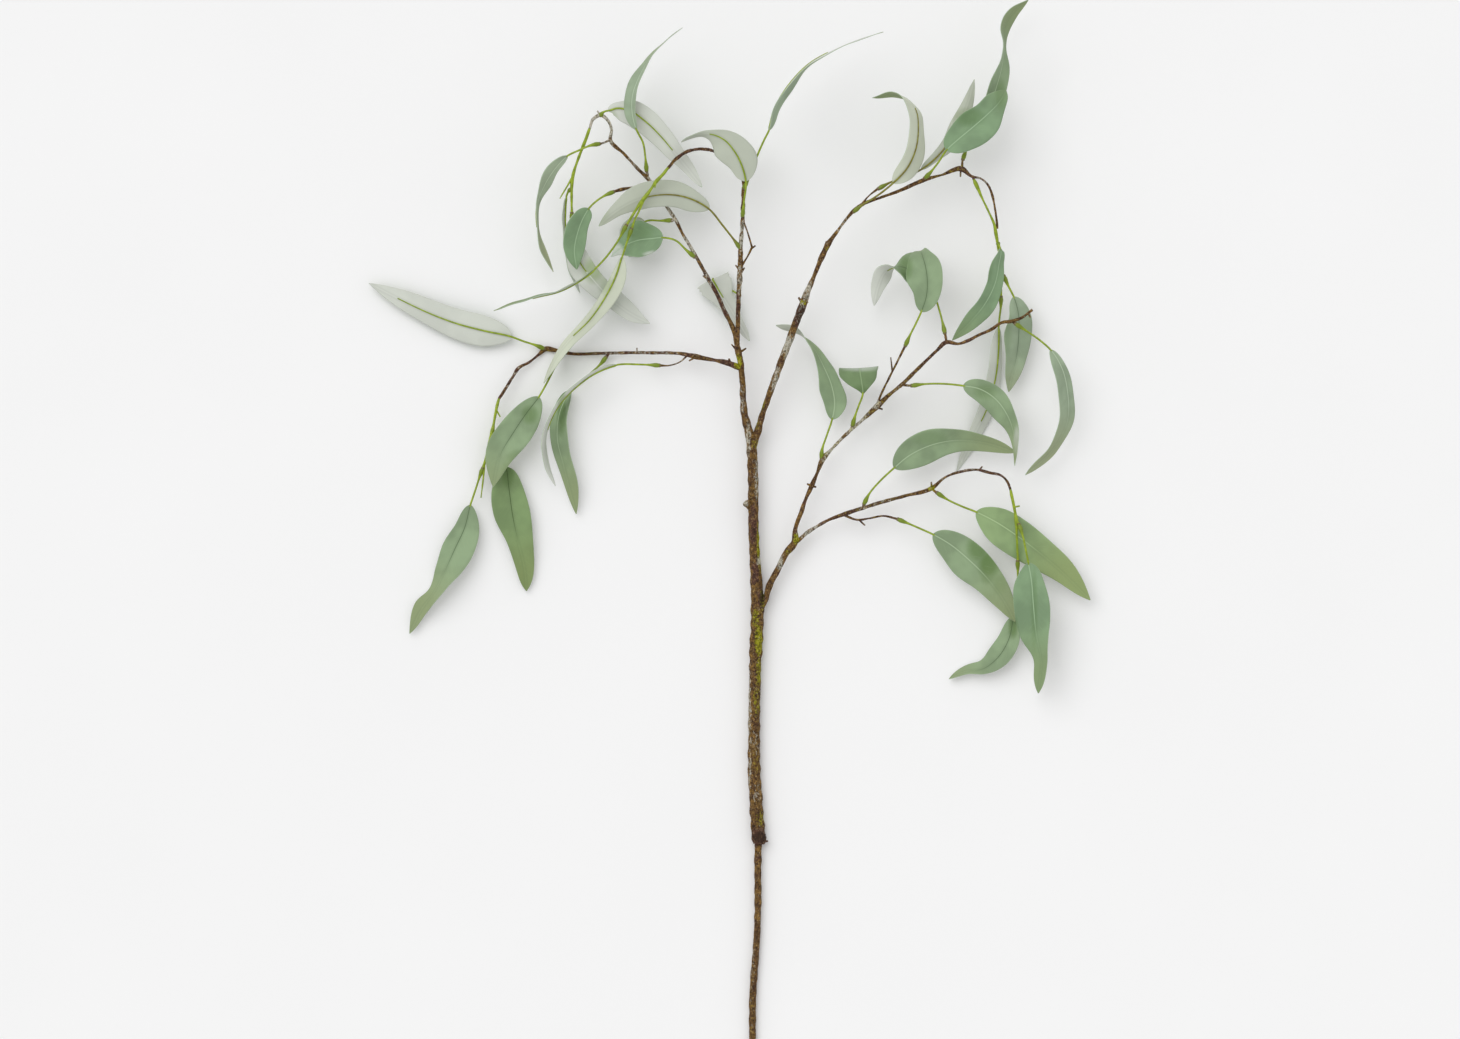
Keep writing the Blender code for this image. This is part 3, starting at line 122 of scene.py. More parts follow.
# Stems: each path and its side shoots, as rows of x, y, z and radius
STEMS = {
    "stem_lower": (
        [
            (752, 1094, 3.3, 3.5), (752.5, 1040, 3.9, 3.5), (753, 990, 4.6, 3.7),
            (756, 950, 5.1, 3.5), (758, 905, 5.7, 3.5), (757.7, 870, 6.1, 3.6),
            (758.4, 840, 6.4, 3.8),
        ],
        [],
    ),
    "stem_main": (
        [
            (758.5, 844, 6.4, 5.6), (758.7, 841, 6.4, 6.9), (757.8, 828, 6.4, 6.9),
            (756.3, 804.1, 6.4, 6.9), (754.3, 773.1, 6.8, 6.5), (754, 742, 7.4, 6.1),
            (754.2, 712, 8, 6), (754.9, 681, 8.7, 6.1), (756.1, 645, 9.5, 6.5),
            (757.2, 620, 10, 6.7), (757, 591, 10.6, 6.3), (755, 560, 11.4, 5.6),
            (753.4, 520, 12.8, 5.3), (753, 480, 14.2, 5.3), (751.8, 450.1, 15.5, 5.4),
            (749.5, 434, 17, 4.6), (745.1, 418.1, 19, 3.9), (742.6, 385, 24, 3.1),
            (740.4, 362, 28, 3.3), (737, 343.1, 31, 3.3), (738, 323, 33, 2.6),
            (738.6, 295, 37, 2.5), (740.2, 268, 41, 2.8), (740.7, 249, 43, 2.4),
            (742.6, 219, 47, 2.3), (743.2, 195, 50, 2.2), (743.4, 180, 52, 2.1),
            (740.5, 166, 54, 2), (730, 156, 56, 1.9), (715, 152, 58, 1.9), (701, 149.7, 59.5, 1.9),
            (688, 152, 60, 1.9), (677, 159, 60, 1.9), (668, 169, 59, 1.8),
        ],
        [
            [(760, 842, 8, 2.2), (768, 841, 10, 1)],
            [(755, 512, 12, 3.6), (748.8, 506, 17.5, 3.5), (746, 503, 20.5, 4)],
            [(739, 353, 29, 1.6), (746, 348.5, 32, 1)],
            [(737, 351, 29, 1.4), (731.5, 344.5, 32, 0.8)],
            [(740.5, 268, 41, 1.5), (749, 254, 43, 1.1), (751.5, 248.5, 43.5, 1.4)],
            [
                (742.5, 220, 47, 1.3), (745.5, 227, 47.5, 1), (749.5, 239, 46, 1),
                (752, 248, 44.5, 1.4),
            ],
            [(751, 249, 44, 1.3), (755.5, 246, 44.5, 0.9)],
            [(740, 271, 41, 1.5), (735.5, 265.5, 42, 0.9)],
            [(740.5, 274, 40, 1.4), (744.5, 268, 41, 0.9)],
        ],
    ),
    "branch_left_upper": (
        [
            (737, 345, 30, 2.5), (733.5, 330, 31, 2.5), (724, 310, 32, 2.4), (716, 292.5, 33, 2.3),
            (708.2, 278.9, 34, 2.29), (697.9, 260, 35, 2), (690.9, 248, 36, 2),
            (682.9, 234.6, 36.5, 1.7), (675, 219, 37, 2.1), (666, 206, 37.5, 1.9),
            (657, 193, 38, 1.9), (648, 179, 39, 2.2), (639.3, 170.7, 39.5, 1.88),
            (624.4, 154.6, 41, 1.75), (610.5, 139.5, 43, 2.2), (611.7, 131, 44, 1.7),
            (608, 121, 45.5, 1.7), (600.6, 115.9, 46.5, 2.18), (593.4, 119.7, 46.5, 1.88),
            (590, 129, 46, 1.7),
        ],
        [
            [(648, 179, 39, 1.5), (646.8, 171, 41, 1.6)],
            [
                (657, 193, 38, 1.4), (641, 187, 37, 1.2), (628, 188.5, 37, 1.4),
                (621, 190, 37, 2.2), (614, 192, 37, 1.5),
            ],
            [(611, 140, 43, 1.5), (605, 143, 44, 1.2), (600, 144.5, 45, 1.6)],
            [(698, 260, 35, 1.5), (694.5, 257, 36, 1.6)],
            [(675, 219, 37, 1.5), (672, 221.5, 37, 1.6)],
            [(708, 280, 34, 1.5), (703, 276, 36, 0.9)],
            [(601, 117, 46.5, 1.4), (597.5, 111.5, 47, 0.9)],
        ],
    ),
    "branch_left_side": (
        [
            (740, 368, 26.5, 3.1), (727, 363, 24.5, 2.9), (713.7, 360.1, 22, 2.04),
            (696.9, 357, 19, 2.88), (680, 353.6, 16.5, 2.04), (655, 352.9, 13.5, 1.95),
            (630, 352.8, 11, 1.88), (600, 353.4, 8, 1.88), (572, 353.7, 5.5, 2),
            (554, 350, 3.6, 2.3), (545.6, 349, 2.8, 2.75), (539, 354.5, 4, 1.7),
            (528.3, 362.9, 6, 1.61), (518.9, 367.9, 8, 2), (512.8, 377, 9, 1.75),
            (506, 388, 10.5, 1.8), (499, 399, 12, 1.7),
        ],
        [
            [(730, 364, 25, 1.8), (729, 359, 28, 1.2)],
            [(697, 356.5, 19, 1.5), (689, 361, 20, 0.9)],
            [
                (688, 355, 17.5, 1.2), (680, 362, 17, 0.9), (669, 365.6, 17, 0.9),
                (660, 365.6, 17, 1.6),
            ],
            [(637, 352.5, 12, 1.2), (637, 348, 13, 0.8)],
            [(563, 352.5, 5, 1.4), (560, 356, 7, 1.6)],
            [(609, 353.6, 9, 1.4), (606.5, 357, 8.5, 1.6)],
        ],
    ),
    "branch_right_upper": (
        [
            (752.5, 448, 15.5, 3.6), (757.5, 432, 17.5, 3.8), (762.1, 415.9, 20, 3),
            (769.3, 394.6, 24, 3.25), (776.8, 374.1, 28, 3.45), (782.8, 357.5, 31, 3.62),
            (788.9, 342, 34, 3.75), (795, 324.8, 37, 3.68), (802.8, 304.9, 41, 4.12),
            (806.8, 293.1, 43, 3.45), (810.9, 284, 45, 2.75), (816.5, 270.2, 47, 2.25),
            (821.7, 257.4, 49, 2.88), (827.4, 245.6, 50, 2.99), (837.8, 230.8, 51, 1.75),
            (845.9, 219.9, 52, 1.75), (852.3, 212.6, 53, 2.07), (862.2, 204.9, 54, 2.18),
            (878, 199, 55, 1.7), (897.5, 192.1, 56, 1.95), (922.6, 181, 56, 2.3),
            (941.2, 175.5, 56, 1.5), (961.4, 169.7, 55, 2.88), (971.6, 177.2, 53, 1.72),
            (979.9, 178.9, 51, 1.27), (986.6, 184.3, 48.5, 1.27), (992, 196, 45, 1.5),
            (994.4, 208.1, 41.5, 1.19), (996, 219, 38, 1.4), (997, 229, 36, 1.3),
        ],
        [
            [(823, 253, 49.5, 1.8), (827, 242, 52, 2)],
            [(803, 305, 41, 2), (807.5, 302, 44, 1.3)],
            [(802, 303, 41, 2), (798.5, 298, 44, 1.2)],
            [(862, 204, 54, 1.3), (868, 197, 56, 0.9), (878, 189, 58, 1.5)],
            [(961.4, 170, 55, 1.5), (962, 160, 56, 1.3)],
            [(960.5, 169, 55, 1.2), (960, 177.5, 54, 0.9)],
            [(922.6, 182, 56, 1.4), (924, 178, 57, 1.6)],
            [(972, 176.5, 53, 1.3), (973.4, 180, 53, 1.5)],
        ],
    ),
    "branch_right_middle": (
        [
            (757.5, 616, 10.5, 3), (765, 600, 12, 3), (769.5, 585.6, 12.5, 3.33),
            (778, 569, 13.2, 3.22), (785.8, 553.9, 14, 3.33), (795, 541, 15, 3.7),
            (795.2, 529.7, 16, 2.5), (801.2, 512.1, 17, 2.53), (806.2, 497.8, 18, 2),
            (811.6, 486, 19, 2.7), (817.1, 473, 21, 1.87), (822.1, 460.5, 23, 2.99),
            (831.9, 448.9, 25, 1.78), (850.3, 430.4, 28, 2), (862.4, 419.9, 30.5, 1.88),
            (876.2, 407.2, 33, 3.1), (890.4, 393.8, 36, 2), (902, 384.4, 38, 2.2),
            (914.3, 372.3, 40, 2.18), (925.5, 361.4, 42, 1.88), (936.4, 350.9, 43.5, 1.88),
            (946, 342.5, 45, 2.4), (958, 344, 45.5, 1.7), (967, 341.1, 46, 1.95),
            (979, 335.1, 46, 1.75), (991.6, 329.4, 46, 1.95), (1001, 323, 45.5, 1.8),
            (1011.5, 321.5, 45, 2), (1022, 317.5, 45, 1.6), (1032, 310, 44.5, 1.5),
        ],
        [
            [(811.6, 486, 19, 1.8), (807, 484, 21, 1)],
            [(811.6, 486, 19, 1.8), (816, 487, 21, 1)],
            [(823, 461, 23, 1.5), (820.5, 458, 24, 1.6)],
            [(850, 430, 28, 1.5), (852.5, 426, 29, 1.6)],
            [
                (876, 407, 33, 1.7), (882, 392, 35.5, 1.3), (888, 380, 38, 1.3),
                (897, 362, 42, 1.3), (905, 346, 45, 1.6),
            ],
            [(892, 371, 40, 1.1), (890.5, 357.5, 41, 0.7)],
            [(876, 407, 33, 1.5), (882.5, 409.5, 34, 0.9)],
            [(902, 385, 38, 1.4), (911.5, 386, 38, 1.5)],
            [(946, 342, 45, 1.5), (944.6, 333, 44.5, 1.5)],
            [(1011.5, 321.5, 45, 1.4), (1015, 324, 45, 1.5)],
            [(1028, 314, 44.7, 1.1), (1030, 318, 45, 0.8)],
        ],
    ),
    "branch_right_lower": (
        [
            (795.5, 543, 15, 2), (808, 532, 15.5, 2.2), (819.1, 525.2, 16, 1.88),
            (830.7, 519, 17, 1.88), (844, 514.2, 18.5, 2.4), (863, 508, 20.5, 2.1),
            (883.9, 501.5, 22.5, 2.18), (906.2, 495.6, 24.5, 1.88), (931.5, 488.3, 27, 2.4),
            (944.7, 477.5, 29, 1.44), (961.2, 471.6, 30.5, 1.84), (976, 469.8, 31.5, 1.38),
            (990.5, 473, 32, 1.88), (1001, 475.6, 32, 1.38), (1006.7, 481.2, 32, 1.38),
            (1010.3, 490, 32, 1.6),
        ],
        [
            [
                (844, 515, 18.5, 1.6), (857, 519.8, 19, 1.3), (869, 518.4, 19.5, 1.2),
                (884, 516, 20, 1.2), (897.5, 519, 20.5, 1.5),
            ],
            [(859, 519.8, 19, 1.2), (865, 525.5, 20, 0.8)],
            [(863, 508, 20.5, 1.4), (863.4, 504, 22, 1.6)],
            [(931.5, 488.3, 27, 1.5), (931, 482, 29, 0.9)],
            [(931.5, 488.3, 27, 1.5), (936.5, 493, 27, 1.5)],
            [(979, 470, 31.5, 1.2), (982, 466.5, 33, 0.8)],
        ],
    ),
    "twig_leader": (
        [
            (668.6, 168.2, 59, 1.6), (664, 174, 58.6, 1.9), (657, 181.5, 58, 2.1),
            (650.5, 190.5, 57, 1.7), (645, 198, 56, 2.4), (638, 207.5, 55, 1.8),
            (632, 217, 54, 1.6), (627, 225, 53, 1.6),
        ],
        [
            [(656.5, 182, 58, 1.3), (655, 188.5, 60, 0.7)],
            [
                (644.5, 199, 56, 1.7), (639.5, 211, 54.5, 1.2), (634.5, 221.5, 52, 1.2),
                (632, 229, 50.5, 1.6),
            ],
        ],
    ),
    "twig_left_upper": (
        [
            (590.2, 128, 46, 1.5), (588, 134.5, 45, 1.9), (584, 145, 43, 1.9), (580, 155, 41, 1.7),
            (576, 166, 39, 1.6), (573, 177, 37, 2.1), (571.8, 188, 35.5, 1.9),
            (571.8, 200, 34, 1.5), (572, 213, 33, 1.5),
        ],
        [
            [(573, 177, 37, 1.4), (566, 189, 37, 1), (560, 199, 37, 0.7)],
        ],
    ),
    "twig_left_side": (
        [
            (499.4, 398.2, 12, 1.5), (497.4, 405, 12.4, 1.9), (494.5, 420, 13, 1.5),
            (492, 433, 13.5, 2.3), (488.6, 446, 13, 1.6), (485.5, 460, 12.4, 1.6),
            (483, 468, 12, 2),
        ],
        [
            [(497, 411, 12.6, 1.2), (500.5, 417, 13.5, 0.7)],
            [(484.5, 466, 12, 1.3), (483, 482, 13, 1), (481, 498, 13, 0.7)],
            [(492, 433, 13.5, 1.4), (494, 437, 12, 1.5)],
        ],
    ),
    "twig_right_upper": (
        [
            (973, 179, 53, 1.3), (974.6, 182.5, 52.6, 2.1), (981, 197, 50, 1.4),
            (988.5, 213, 47, 1.3), (993.6, 224, 44, 1.7), (995.6, 234, 41.5, 2.1),
            (997.4, 245, 38.5, 1.7), (999.4, 257, 35, 1.4), (1000.5, 270, 31, 1.8),
            (1000.7, 284, 28, 1.4), (1000.7, 297, 26, 1.6),
        ],
        [
            [(1000.5, 270, 31, 1.3), (1003.5, 276, 30, 1.4)],
        ],
    ),
    "twig_right_lower": (
        [
            (1010.2, 489.2, 32, 1.4), (1011.5, 496, 32, 1.9), (1014, 508, 32, 1.6),
            (1016, 521, 31.5, 2.2), (1016.4, 533, 30.5, 1.5), (1017, 547, 29, 1.4),
            (1017.6, 561, 27.5, 1.5),
        ],
        [
            [(1013.8, 507, 32, 1.2), (1019.5, 506, 33, 0.8)],
            [(1016, 521, 31.5, 1.4), (1019, 524, 33.5, 1.5)],
        ],
    ),
}

# Leaves: blade width, stalk as rows of x, y and z, and blade as rows of x, y, z, tilt and how full
# its left and right halves are
LEAVES = {
    "leaf_side_1": (
        37,
        [(545, 349, 4.5), (535, 345, 8), (524, 341.5, 10)],
        [
            (512, 337, 11, 180, 1, 1), (485, 331, 12, 176, 0.95, 1.05),
            (458, 324, 12, 174, 0.8, 0.88), (431, 314, 11, 176, 0.8, 0.7),
            (400, 299.5, 10, 178, 0.9, 0.68), (369, 283.4, 9, 180, 0.9, 0.7),
        ],
    ),
    "leaf_side_2": (
        30,
        [(661, 365.6, 17), (640, 364.6, 19)],
        [
            (617, 365, 22, 120, 0.6, 0.6), (597.5, 372, 25.5, 112, 0.42, 0.7),
            (576, 387, 28, 108, 0.45, 0.8), (556, 410, 28, 108, 0.5, 0.6),
            (545.5, 440, 25, 112, 0.6, 0.5), (547, 464, 22, 124, 0.6, 0.7),
            (555.6, 486, 19, 150, 0.7, 0.7),
        ],
    ),
    "leaf_side_3": (
        27,
        [(607, 356, 8.5), (602, 362.5, 8), (590, 374, 8.5)],
        [
            (570.8, 391, 8, 40, 1, 1), (560.5, 411, 10.5, 44, 1.06, 0.76),
            (557.5, 437, 12, 42, 1.14, 0.62), (564, 466, 11, 36, 1.05, 0.54),
            (570, 490, 9, 28, 1.4, 0.5), (576.3, 514, 7, 20, 1.3, 0.7),
        ],
    ),
    "leaf_side_4": (
        34,
        [(483.4, 467, 12), (480, 476, 11.5), (475.5, 490, 10.5)],
        [
            (470.5, 505, 10, 4, 1, 0.8), (465, 527, 10, 4, 1.15, 0.72),
            (455, 549, 9.5, 10, 1.2, 0.78), (445, 571, 9.5, 24, 1.05, 0.62),
            (434, 593, 9, 50, 0.9, 0.6), (422, 609, 8.5, 20, 0.75, 0.95),
            (409.7, 633.6, 6, 4, 1, 1),
        ],
    ),
    "leaf_side_5": (
        34,
        [(560.8, 355, 7.5), (554, 369, 14), (547, 383, 18)],
        [
            (539, 397, 21, -6, 1, 0.8), (527.5, 412, 23, -4, 1.08, 0.82),
            (514, 432, 24, 2, 1.1, 0.95), (500.5, 455, 23, 4, 1.04, 1.15), (493, 487, 21, 8, 1, 1),
        ],
    ),
    "leaf_side_6": (
        37,
        [(493.6, 436, 12.3), (499, 450, 9.6)],
        [
            (506, 467, 8.5, 0, 1, 1.1), (509, 488, 8, 2, 0.94, 1.15), (512.5, 514, 8, 4, 1, 1),
            (519, 545, 7.5, 4, 0.96, 0.66), (524.5, 568, 6, 0, 1, 0.85),
            (526.5, 591, 5, -6, 1.4, 1.3),
        ],
    ),
    "leaf_leader_1": (
        32,
        [(743, 190, 51), (750, 176, 54), (757, 157, 58), (764, 141, 62)],
        [
            (769, 131, 64, 74, 1, 1), (774, 112, 67, 74, 1, 0.92), (788, 87.5, 69, 78, 0.84, 0.94),
            (808.5, 65.5, 69, 84, 0.6, 0.5), (837, 49.5, 67, 90, 0.4, 0.4),
            (860, 40, 65, 92, 0.35, 0.35), (883, 33, 64, 94, 0.35, 0.35),
        ],
    ),
    "leaf_leader_2": (
        35,
        [(742.4, 218, 47), (744, 202, 55)],
        [
            (745.8, 182, 62, 180, 1, 1), (742, 167, 65, 184, 1.2, 0.8),
            (735, 153, 67, 186, 1, 0.98), (724, 140.5, 68, 178, 0.64, 1.04),
            (708, 134.5, 67, 150, 0.28, 0.6), (694, 137, 65, 118, 0.4, 0.5),
            (681.5, 143, 63, 112, 1, 1),
        ],
    ),
    "leaf_leader_3": (
        33,
        [(741.3, 250, 43), (733, 239, 44), (722, 225, 45.5)],
        [
            (709, 209.5, 47, 178, 0.8, 1), (697, 202, 47.5, 180, 0.72, 1),
            (678, 196, 48, 182, 0.88, 0.78), (655, 196, 48, 180, 0.94, 0.72),
            (634, 202, 47.5, 176, 1, 0.74), (615, 213, 47, 176, 0.8, 0.62),
            (599, 226.6, 46, 178, 1, 1),
        ],
    ),
    "leaf_leader_4": (
        26,
        [(632, 228, 50.5), (627.6, 241, 50)],
        [
            (622.5, 257, 49, 208, 0.7, 1), (616.5, 276, 46, 206, 0.6, 1.1),
            (606, 297, 41, 200, 0.5, 0.85), (590, 320, 34, 196, 0.48, 0.58),
            (569, 341, 26, 222, 0.55, 0.7), (556, 358, 23, 240, 0.9, 1.1),
            (544, 383.5, 21, 226, 1, 1),
        ],
    ),
    "leaf_leader_5": (
        20,
        [(627.2, 224.6, 53), (617, 243, 52), (606, 258, 51)],
        [
            (595, 269.5, 50, 100, 0.6, 0.6), (579, 281.5, 49, 96, 0.6, 0.6),
            (560, 291.5, 47, 92, 0.6, 0.6), (537, 297.5, 45, 84, 0.6, 0.6),
            (514, 304, 43, 70, 0.6, 0.5), (494, 311, 42, 60, 0.6, 0.6),
        ],
    ),
    "leaf_upper_1": (
        33,
        [(600.5, 117, 46.5), (603, 113.2, 49.2), (606, 111.8, 50.2)],
        [
            (609, 111.3, 50.6, 180, 1, 1), (617, 109, 51.4, 182, 1.2, 0.7),
            (628, 110.5, 52.4, 185, 1.1, 0.8), (645, 121.5, 53, 186, 0.86, 0.8),
            (661, 137, 52.5, 184, 0.72, 0.7), (676, 155, 51, 180, 0.66, 0.68),
            (690, 172, 49, 176, 0.6, 0.8), (702, 187.6, 47, 172, 1, 1),
        ],
    ),
    "leaf_upper_2": (
        24,
        [(646.8, 172.6, 41), (645.5, 158, 47), (643, 143, 56)],
        [
            (636.5, 130, 61, -34, 1, 0.6), (632.5, 113, 63, -42, 0.95, 0.52),
            (633, 96, 64, -50, 0.84, 0.5), (639, 79, 64, -60, 0.84, 0.46),
            (651, 58, 63, -76, 0.5, 0.5), (667, 41, 62, -88, 0.35, 0.35),
            (682.6, 28.7, 61, -88, 0.3, 0.3),
        ],
    ),
    "leaf_upper_3": (
        33,
        [(695.5, 258, 36), (687, 251, 37.5), (675, 240.5, 38)],
        [
            (663, 238, 38, 0, 1, 1), (651, 239, 38.5, 4, 1.02, 1.02),
            (639, 240.5, 38, 14, 1.12, 1.2), (629, 244, 36.5, 34, 1.3, 0.9),
            (619, 250, 34, 50, 1.2, 1), (611, 257, 31, 58, 1, 1),
        ],
    ),
    "leaf_upper_4": (
        34,
        [(673, 220.6, 37), (662, 221, 31)],
        [
            (645, 222, 25, 184, 1, 1), (637, 231, 23, 184, 1, 1), (634, 243, 18, 180, 1, 1),
            (633, 251, 9.5, 178, 1, 1), (629, 257, 4, 176, 1, 1),
        ],
    ),
    "leaf_upper_5": (
        26,
        [(601, 144.2, 45), (591, 146, 48.5), (579, 151, 49.5)],
        [
            (567.6, 156.5, 49, -42, 0.7, 1.2), (557, 167, 47, -48, 0.54, 1.3),
            (546, 183, 43, -56, 0.64, 0.94), (538, 203, 38, -80, 0.46, 0.5),
            (537.5, 227, 34, -88, 0.3, 0.3), (543, 249, 30, -70, 0.5, 1.1),
            (553.5, 272, 26, -70, 0.8, 0.9),
        ],
    ),
    "leaf_upper_6": (
        28,
        [(615, 191.7, 37), (605, 196, 40)],
        [
            (589, 209, 43, -22, 1, 1), (582.5, 220, 43.5, -24, 0.68, 1.06),
            (577.5, 234, 43, -20, 0.72, 1.06), (574.5, 250, 41, -16, 0.95, 1.04),
            (577, 270, 38, -12, 1, 1),
        ],
    ),
    "leaf_upper_7": (
        30,
        [(572, 212, 33), (572, 226, 30.5)],
        [
            (573, 240, 30, 196, 1, 1), (580, 262, 31, 196, 1.12, 0.86),
            (596, 283, 30, 190, 0.9, 0.66), (618, 305, 27, 180, 0.66, 1),
            (636, 317, 25, 172, 0.98, 1.16), (650, 323.5, 23, 166, 1, 1),
        ],
    ),
    "leaf_upper_8": (
        22,
        [(571.8, 189, 35.5), (568.5, 192, 33)],
        [
            (566.5, 197, 30, 110, 0.6, 0.6), (565, 213, 26, 106, 0.48, 0.6),
            (565.5, 235, 21, 104, 0.4, 0.6), (570, 262, 14, 108, 0.68, 0.6),
            (580, 293, 8, 116, 1, 0.6),
        ],
    ),
    "leaf_leader_6": (
        44,
        [(739.6, 296, 36), (737.5, 294, 22), (731, 290, 9), (721, 284.5, 8)],
        [
            (712.5, 279.3, 13, 180, 5, 5), (713.2, 280.7, 12.9, 180, 2.6, 2.6),
            (714.6, 283, 12.7, 180, 1.55, 1.55), (717, 287.3, 12.5, 180, 1.06, 1.06),
            (721, 294, 12.7, 180, 0.66, 0.66), (728.5, 306, 14, 180, 0.42, 0.4),
            (739, 323, 16, 180, 0.32, 0.3), (749.5, 341, 17, 180, 0.5, 0.5),
        ],
    ),
    "leaf_right_1": (
        30,
        [(852.6, 213, 53), (862, 205.6, 57), (876, 197, 60)],
        [
            (893, 183.5, 63, 184, 1, 1), (907, 168, 66, 212, 1.2, 0.78),
            (915, 150, 68, 226, 1.04, 0.72), (917.5, 130, 69, 236, 0.8, 0.74),
            (915.5, 112, 68, 244, 0.8, 0.88), (908, 100.5, 66, 262, 0.8, 1),
            (893, 95, 63, 290, 0.8, 1), (872, 98.6, 61, 296, 1, 1),
        ],
    ),
    "leaf_right_2": (
        37,
        [(924, 179.4, 57), (931, 172, 62), (938, 163, 66)],
        [
            (946, 151, 69, 0, 1, 1), (958, 140, 71, 0, 0.9, 1), (973, 127.5, 71, 2, 0.95, 1.1),
            (986, 116, 69, 6, 0.88, 1.1), (997, 105, 66, 10, 1.2, 0.8),
            (1002, 98, 61, 12, 1.2, 0.8), (1005.5, 91, 53, 14, 1, 1),
        ],
    ),
    "leaf_right_3": (
        30,
        [(962, 161.4, 56), (966, 150, 53.5), (974, 134, 50)],
        [
            (983, 113, 47.5, 40, 1, 1), (992, 98, 46.5, 42, 1, 1), (997.5, 82, 46.5, 52, 1, 1),
            (1002, 64, 47, 66, 1, 0.8), (1004, 47, 48, 78, 1, 0.35), (1003.5, 29, 48, 60, 1, 0.8),
            (1012, 13.5, 48, 44, 1, 1), (1028, 0.4, 48, 40, 1, 1),
        ],
    ),
    "leaf_right_4": (
        34,
        [(877, 190, 58), (890, 183, 56), (905, 177.5, 52)],
        [
            (921, 170, 48, 178, 0.3, 0.5), (934, 160, 46, 180, 0.25, 0.4),
            (947, 145, 45, 182, 0.5, 0.38), (958, 126, 44, 180, 0.6, 0.54),
            (968, 103, 43, 176, 0.5, 0.56), (974, 80, 42, 170, 0.6, 0.6),
        ],
    ),
    "leaf_right_5": (
        27,
        [(997.2, 243, 38.5), (998.8, 246, 41)],
        [
            (1000, 249, 41.5, -48, 0.8, 1), (998.5, 264, 41, -44, 0.6, 1.2),
            (994.5, 284, 36, -26, 0.64, 0.74), (984, 305, 34, -18, 0.9, 0.72),
            (969, 323, 33, -14, 0.96, 0.98), (952, 340.5, 33, -10, 1, 1),
        ],
    ),
    "leaf_right_6": (
        27,
        [(1003, 275, 30), (1008, 286, 28)],
        [
            (1013.5, 297, 25, -6, 1, 1), (1018, 313, 23, -10, 1.05, 0.86),
            (1018.5, 334, 20, -12, 0.98, 1.18), (1016, 358, 17, -8, 0.9, 1),
            (1011, 378, 15, -4, 1.12, 1), (1008.5, 392, 14, 0, 1.2, 1),
        ],
    ),
    "leaf_right_7": (
        30,
        [(1000.7, 295.6, 26), (1000.5, 308, 22), (999.3, 318, 19)],
        [
            (998.5, 328, 18, 142, 0.8, 0.6), (998, 350, 15, 142, 0.7, 0.5),
            (995.5, 376, 12.3, 146, 0.62, 0.5), (987, 408, 8.3, 158, 0.6, 0.6),
            (973, 437, 4.4, 170, 0.6, 0.7), (956.5, 472, 0.55, 178, 0.8, 0.8),
        ],
    ),
    "leaf_middle_1": (
        32,
        [(821.3, 459.6, 23.4), (822, 450, 25), (826.5, 436, 26)],
        [
            (832, 419.5, 26, 4, 1, 1), (834.5, 404, 26, 6, 0.92, 1.02),
            (831.5, 386, 25.5, 12, 0.9, 0.64), (823, 366, 24, 40, 0.58, 0.58),
            (812, 346.5, 22.5, 62, 0.56, 0.44), (796, 332, 21, 110, 0.8, 0.8),
            (776, 325.4, 20, 150, 1, 1),
        ],
    ),
    "leaf_middle_2": (
        41,
        [(852, 427, 29), (855, 416, 33), (858.5, 406, 37)],
        [
            (862.6, 394, 41, 0, 0.3, 0.28), (861.4, 382, 44, 0, 0.78, 0.76),
            (860, 373, 44.5, 0, 1.02, 0.85), (859.6, 368.5, 40, 0, 1.04, 0.94),
            (861, 370, 34, 0, 1.1, 0.94), (863, 374, 24, 0, 1.1, 0.94), (864, 379, 13, 0, 1, 1),
        ],
    ),
    "leaf_middle_3": (
        32,
        [(904.6, 347, 45), (909, 337, 47.5), (915, 325, 50)],
        [
            (921, 312, 52, -6, 1, 1), (926, 297, 54.5, -8, 0.98, 0.98),
            (927, 280, 56, -10, 1.3, 1.04), (924.5, 264, 56, -8, 1.25, 1.02),
            (922, 256, 52, -6, 1.06, 0.7), (921, 252, 44, -4, 1, 0.6), (921, 251, 34, -2, 1, 0.6),
            (921.5, 251, 22, 0, 1, 1),
        ],
    ),
    "leaf_middle_4": (
        30,
        [(944.8, 334.6, 44.6), (942.5, 324, 43), (939.5, 312, 42)],
        [
            (936, 301, 41, 0, 1, 1), (930, 289, 41, 0, 1, 1), (920, 278, 41.5, 6, 0.92, 1.2),
            (908, 269.5, 42, 28, 0.9, 1.3), (896, 267, 40, 76, 0.9, 1.1),
            (885, 272.5, 37.5, 128, 0.86, 1.1), (878.5, 286, 36, 152, 0.92, 0.86),
            (873.8, 306, 34, 166, 1, 1),
        ],
    ),
    "leaf_middle_5": (
        34,
        [(910, 386, 38), (925, 384.2, 39), (943, 384, 40)],
        [
            (963, 386, 40, 0, 0.9, 1), (979, 389, 40, 2, 0.75, 0.9), (995, 399, 39, 10, 0.7, 0.85),
            (1007, 415, 37, 30, 0.6, 0.8), (1014.5, 438, 34, 52, 0.64, 0.5),
            (1014.5, 466, 31, 60, 0.35, 0.35),
        ],
    ),
    "leaf_middle_6": (
        28,
        [(1014, 323.4, 45), (1028, 332.5, 45), (1040, 341, 44)],
        [
            (1050, 350, 43, -30, 0.6, 1.1), (1061.5, 369, 42, -34, 0.5, 1.1),
            (1067, 393, 41, -38, 0.5, 1), (1067, 420, 39, -40, 0.55, 1),
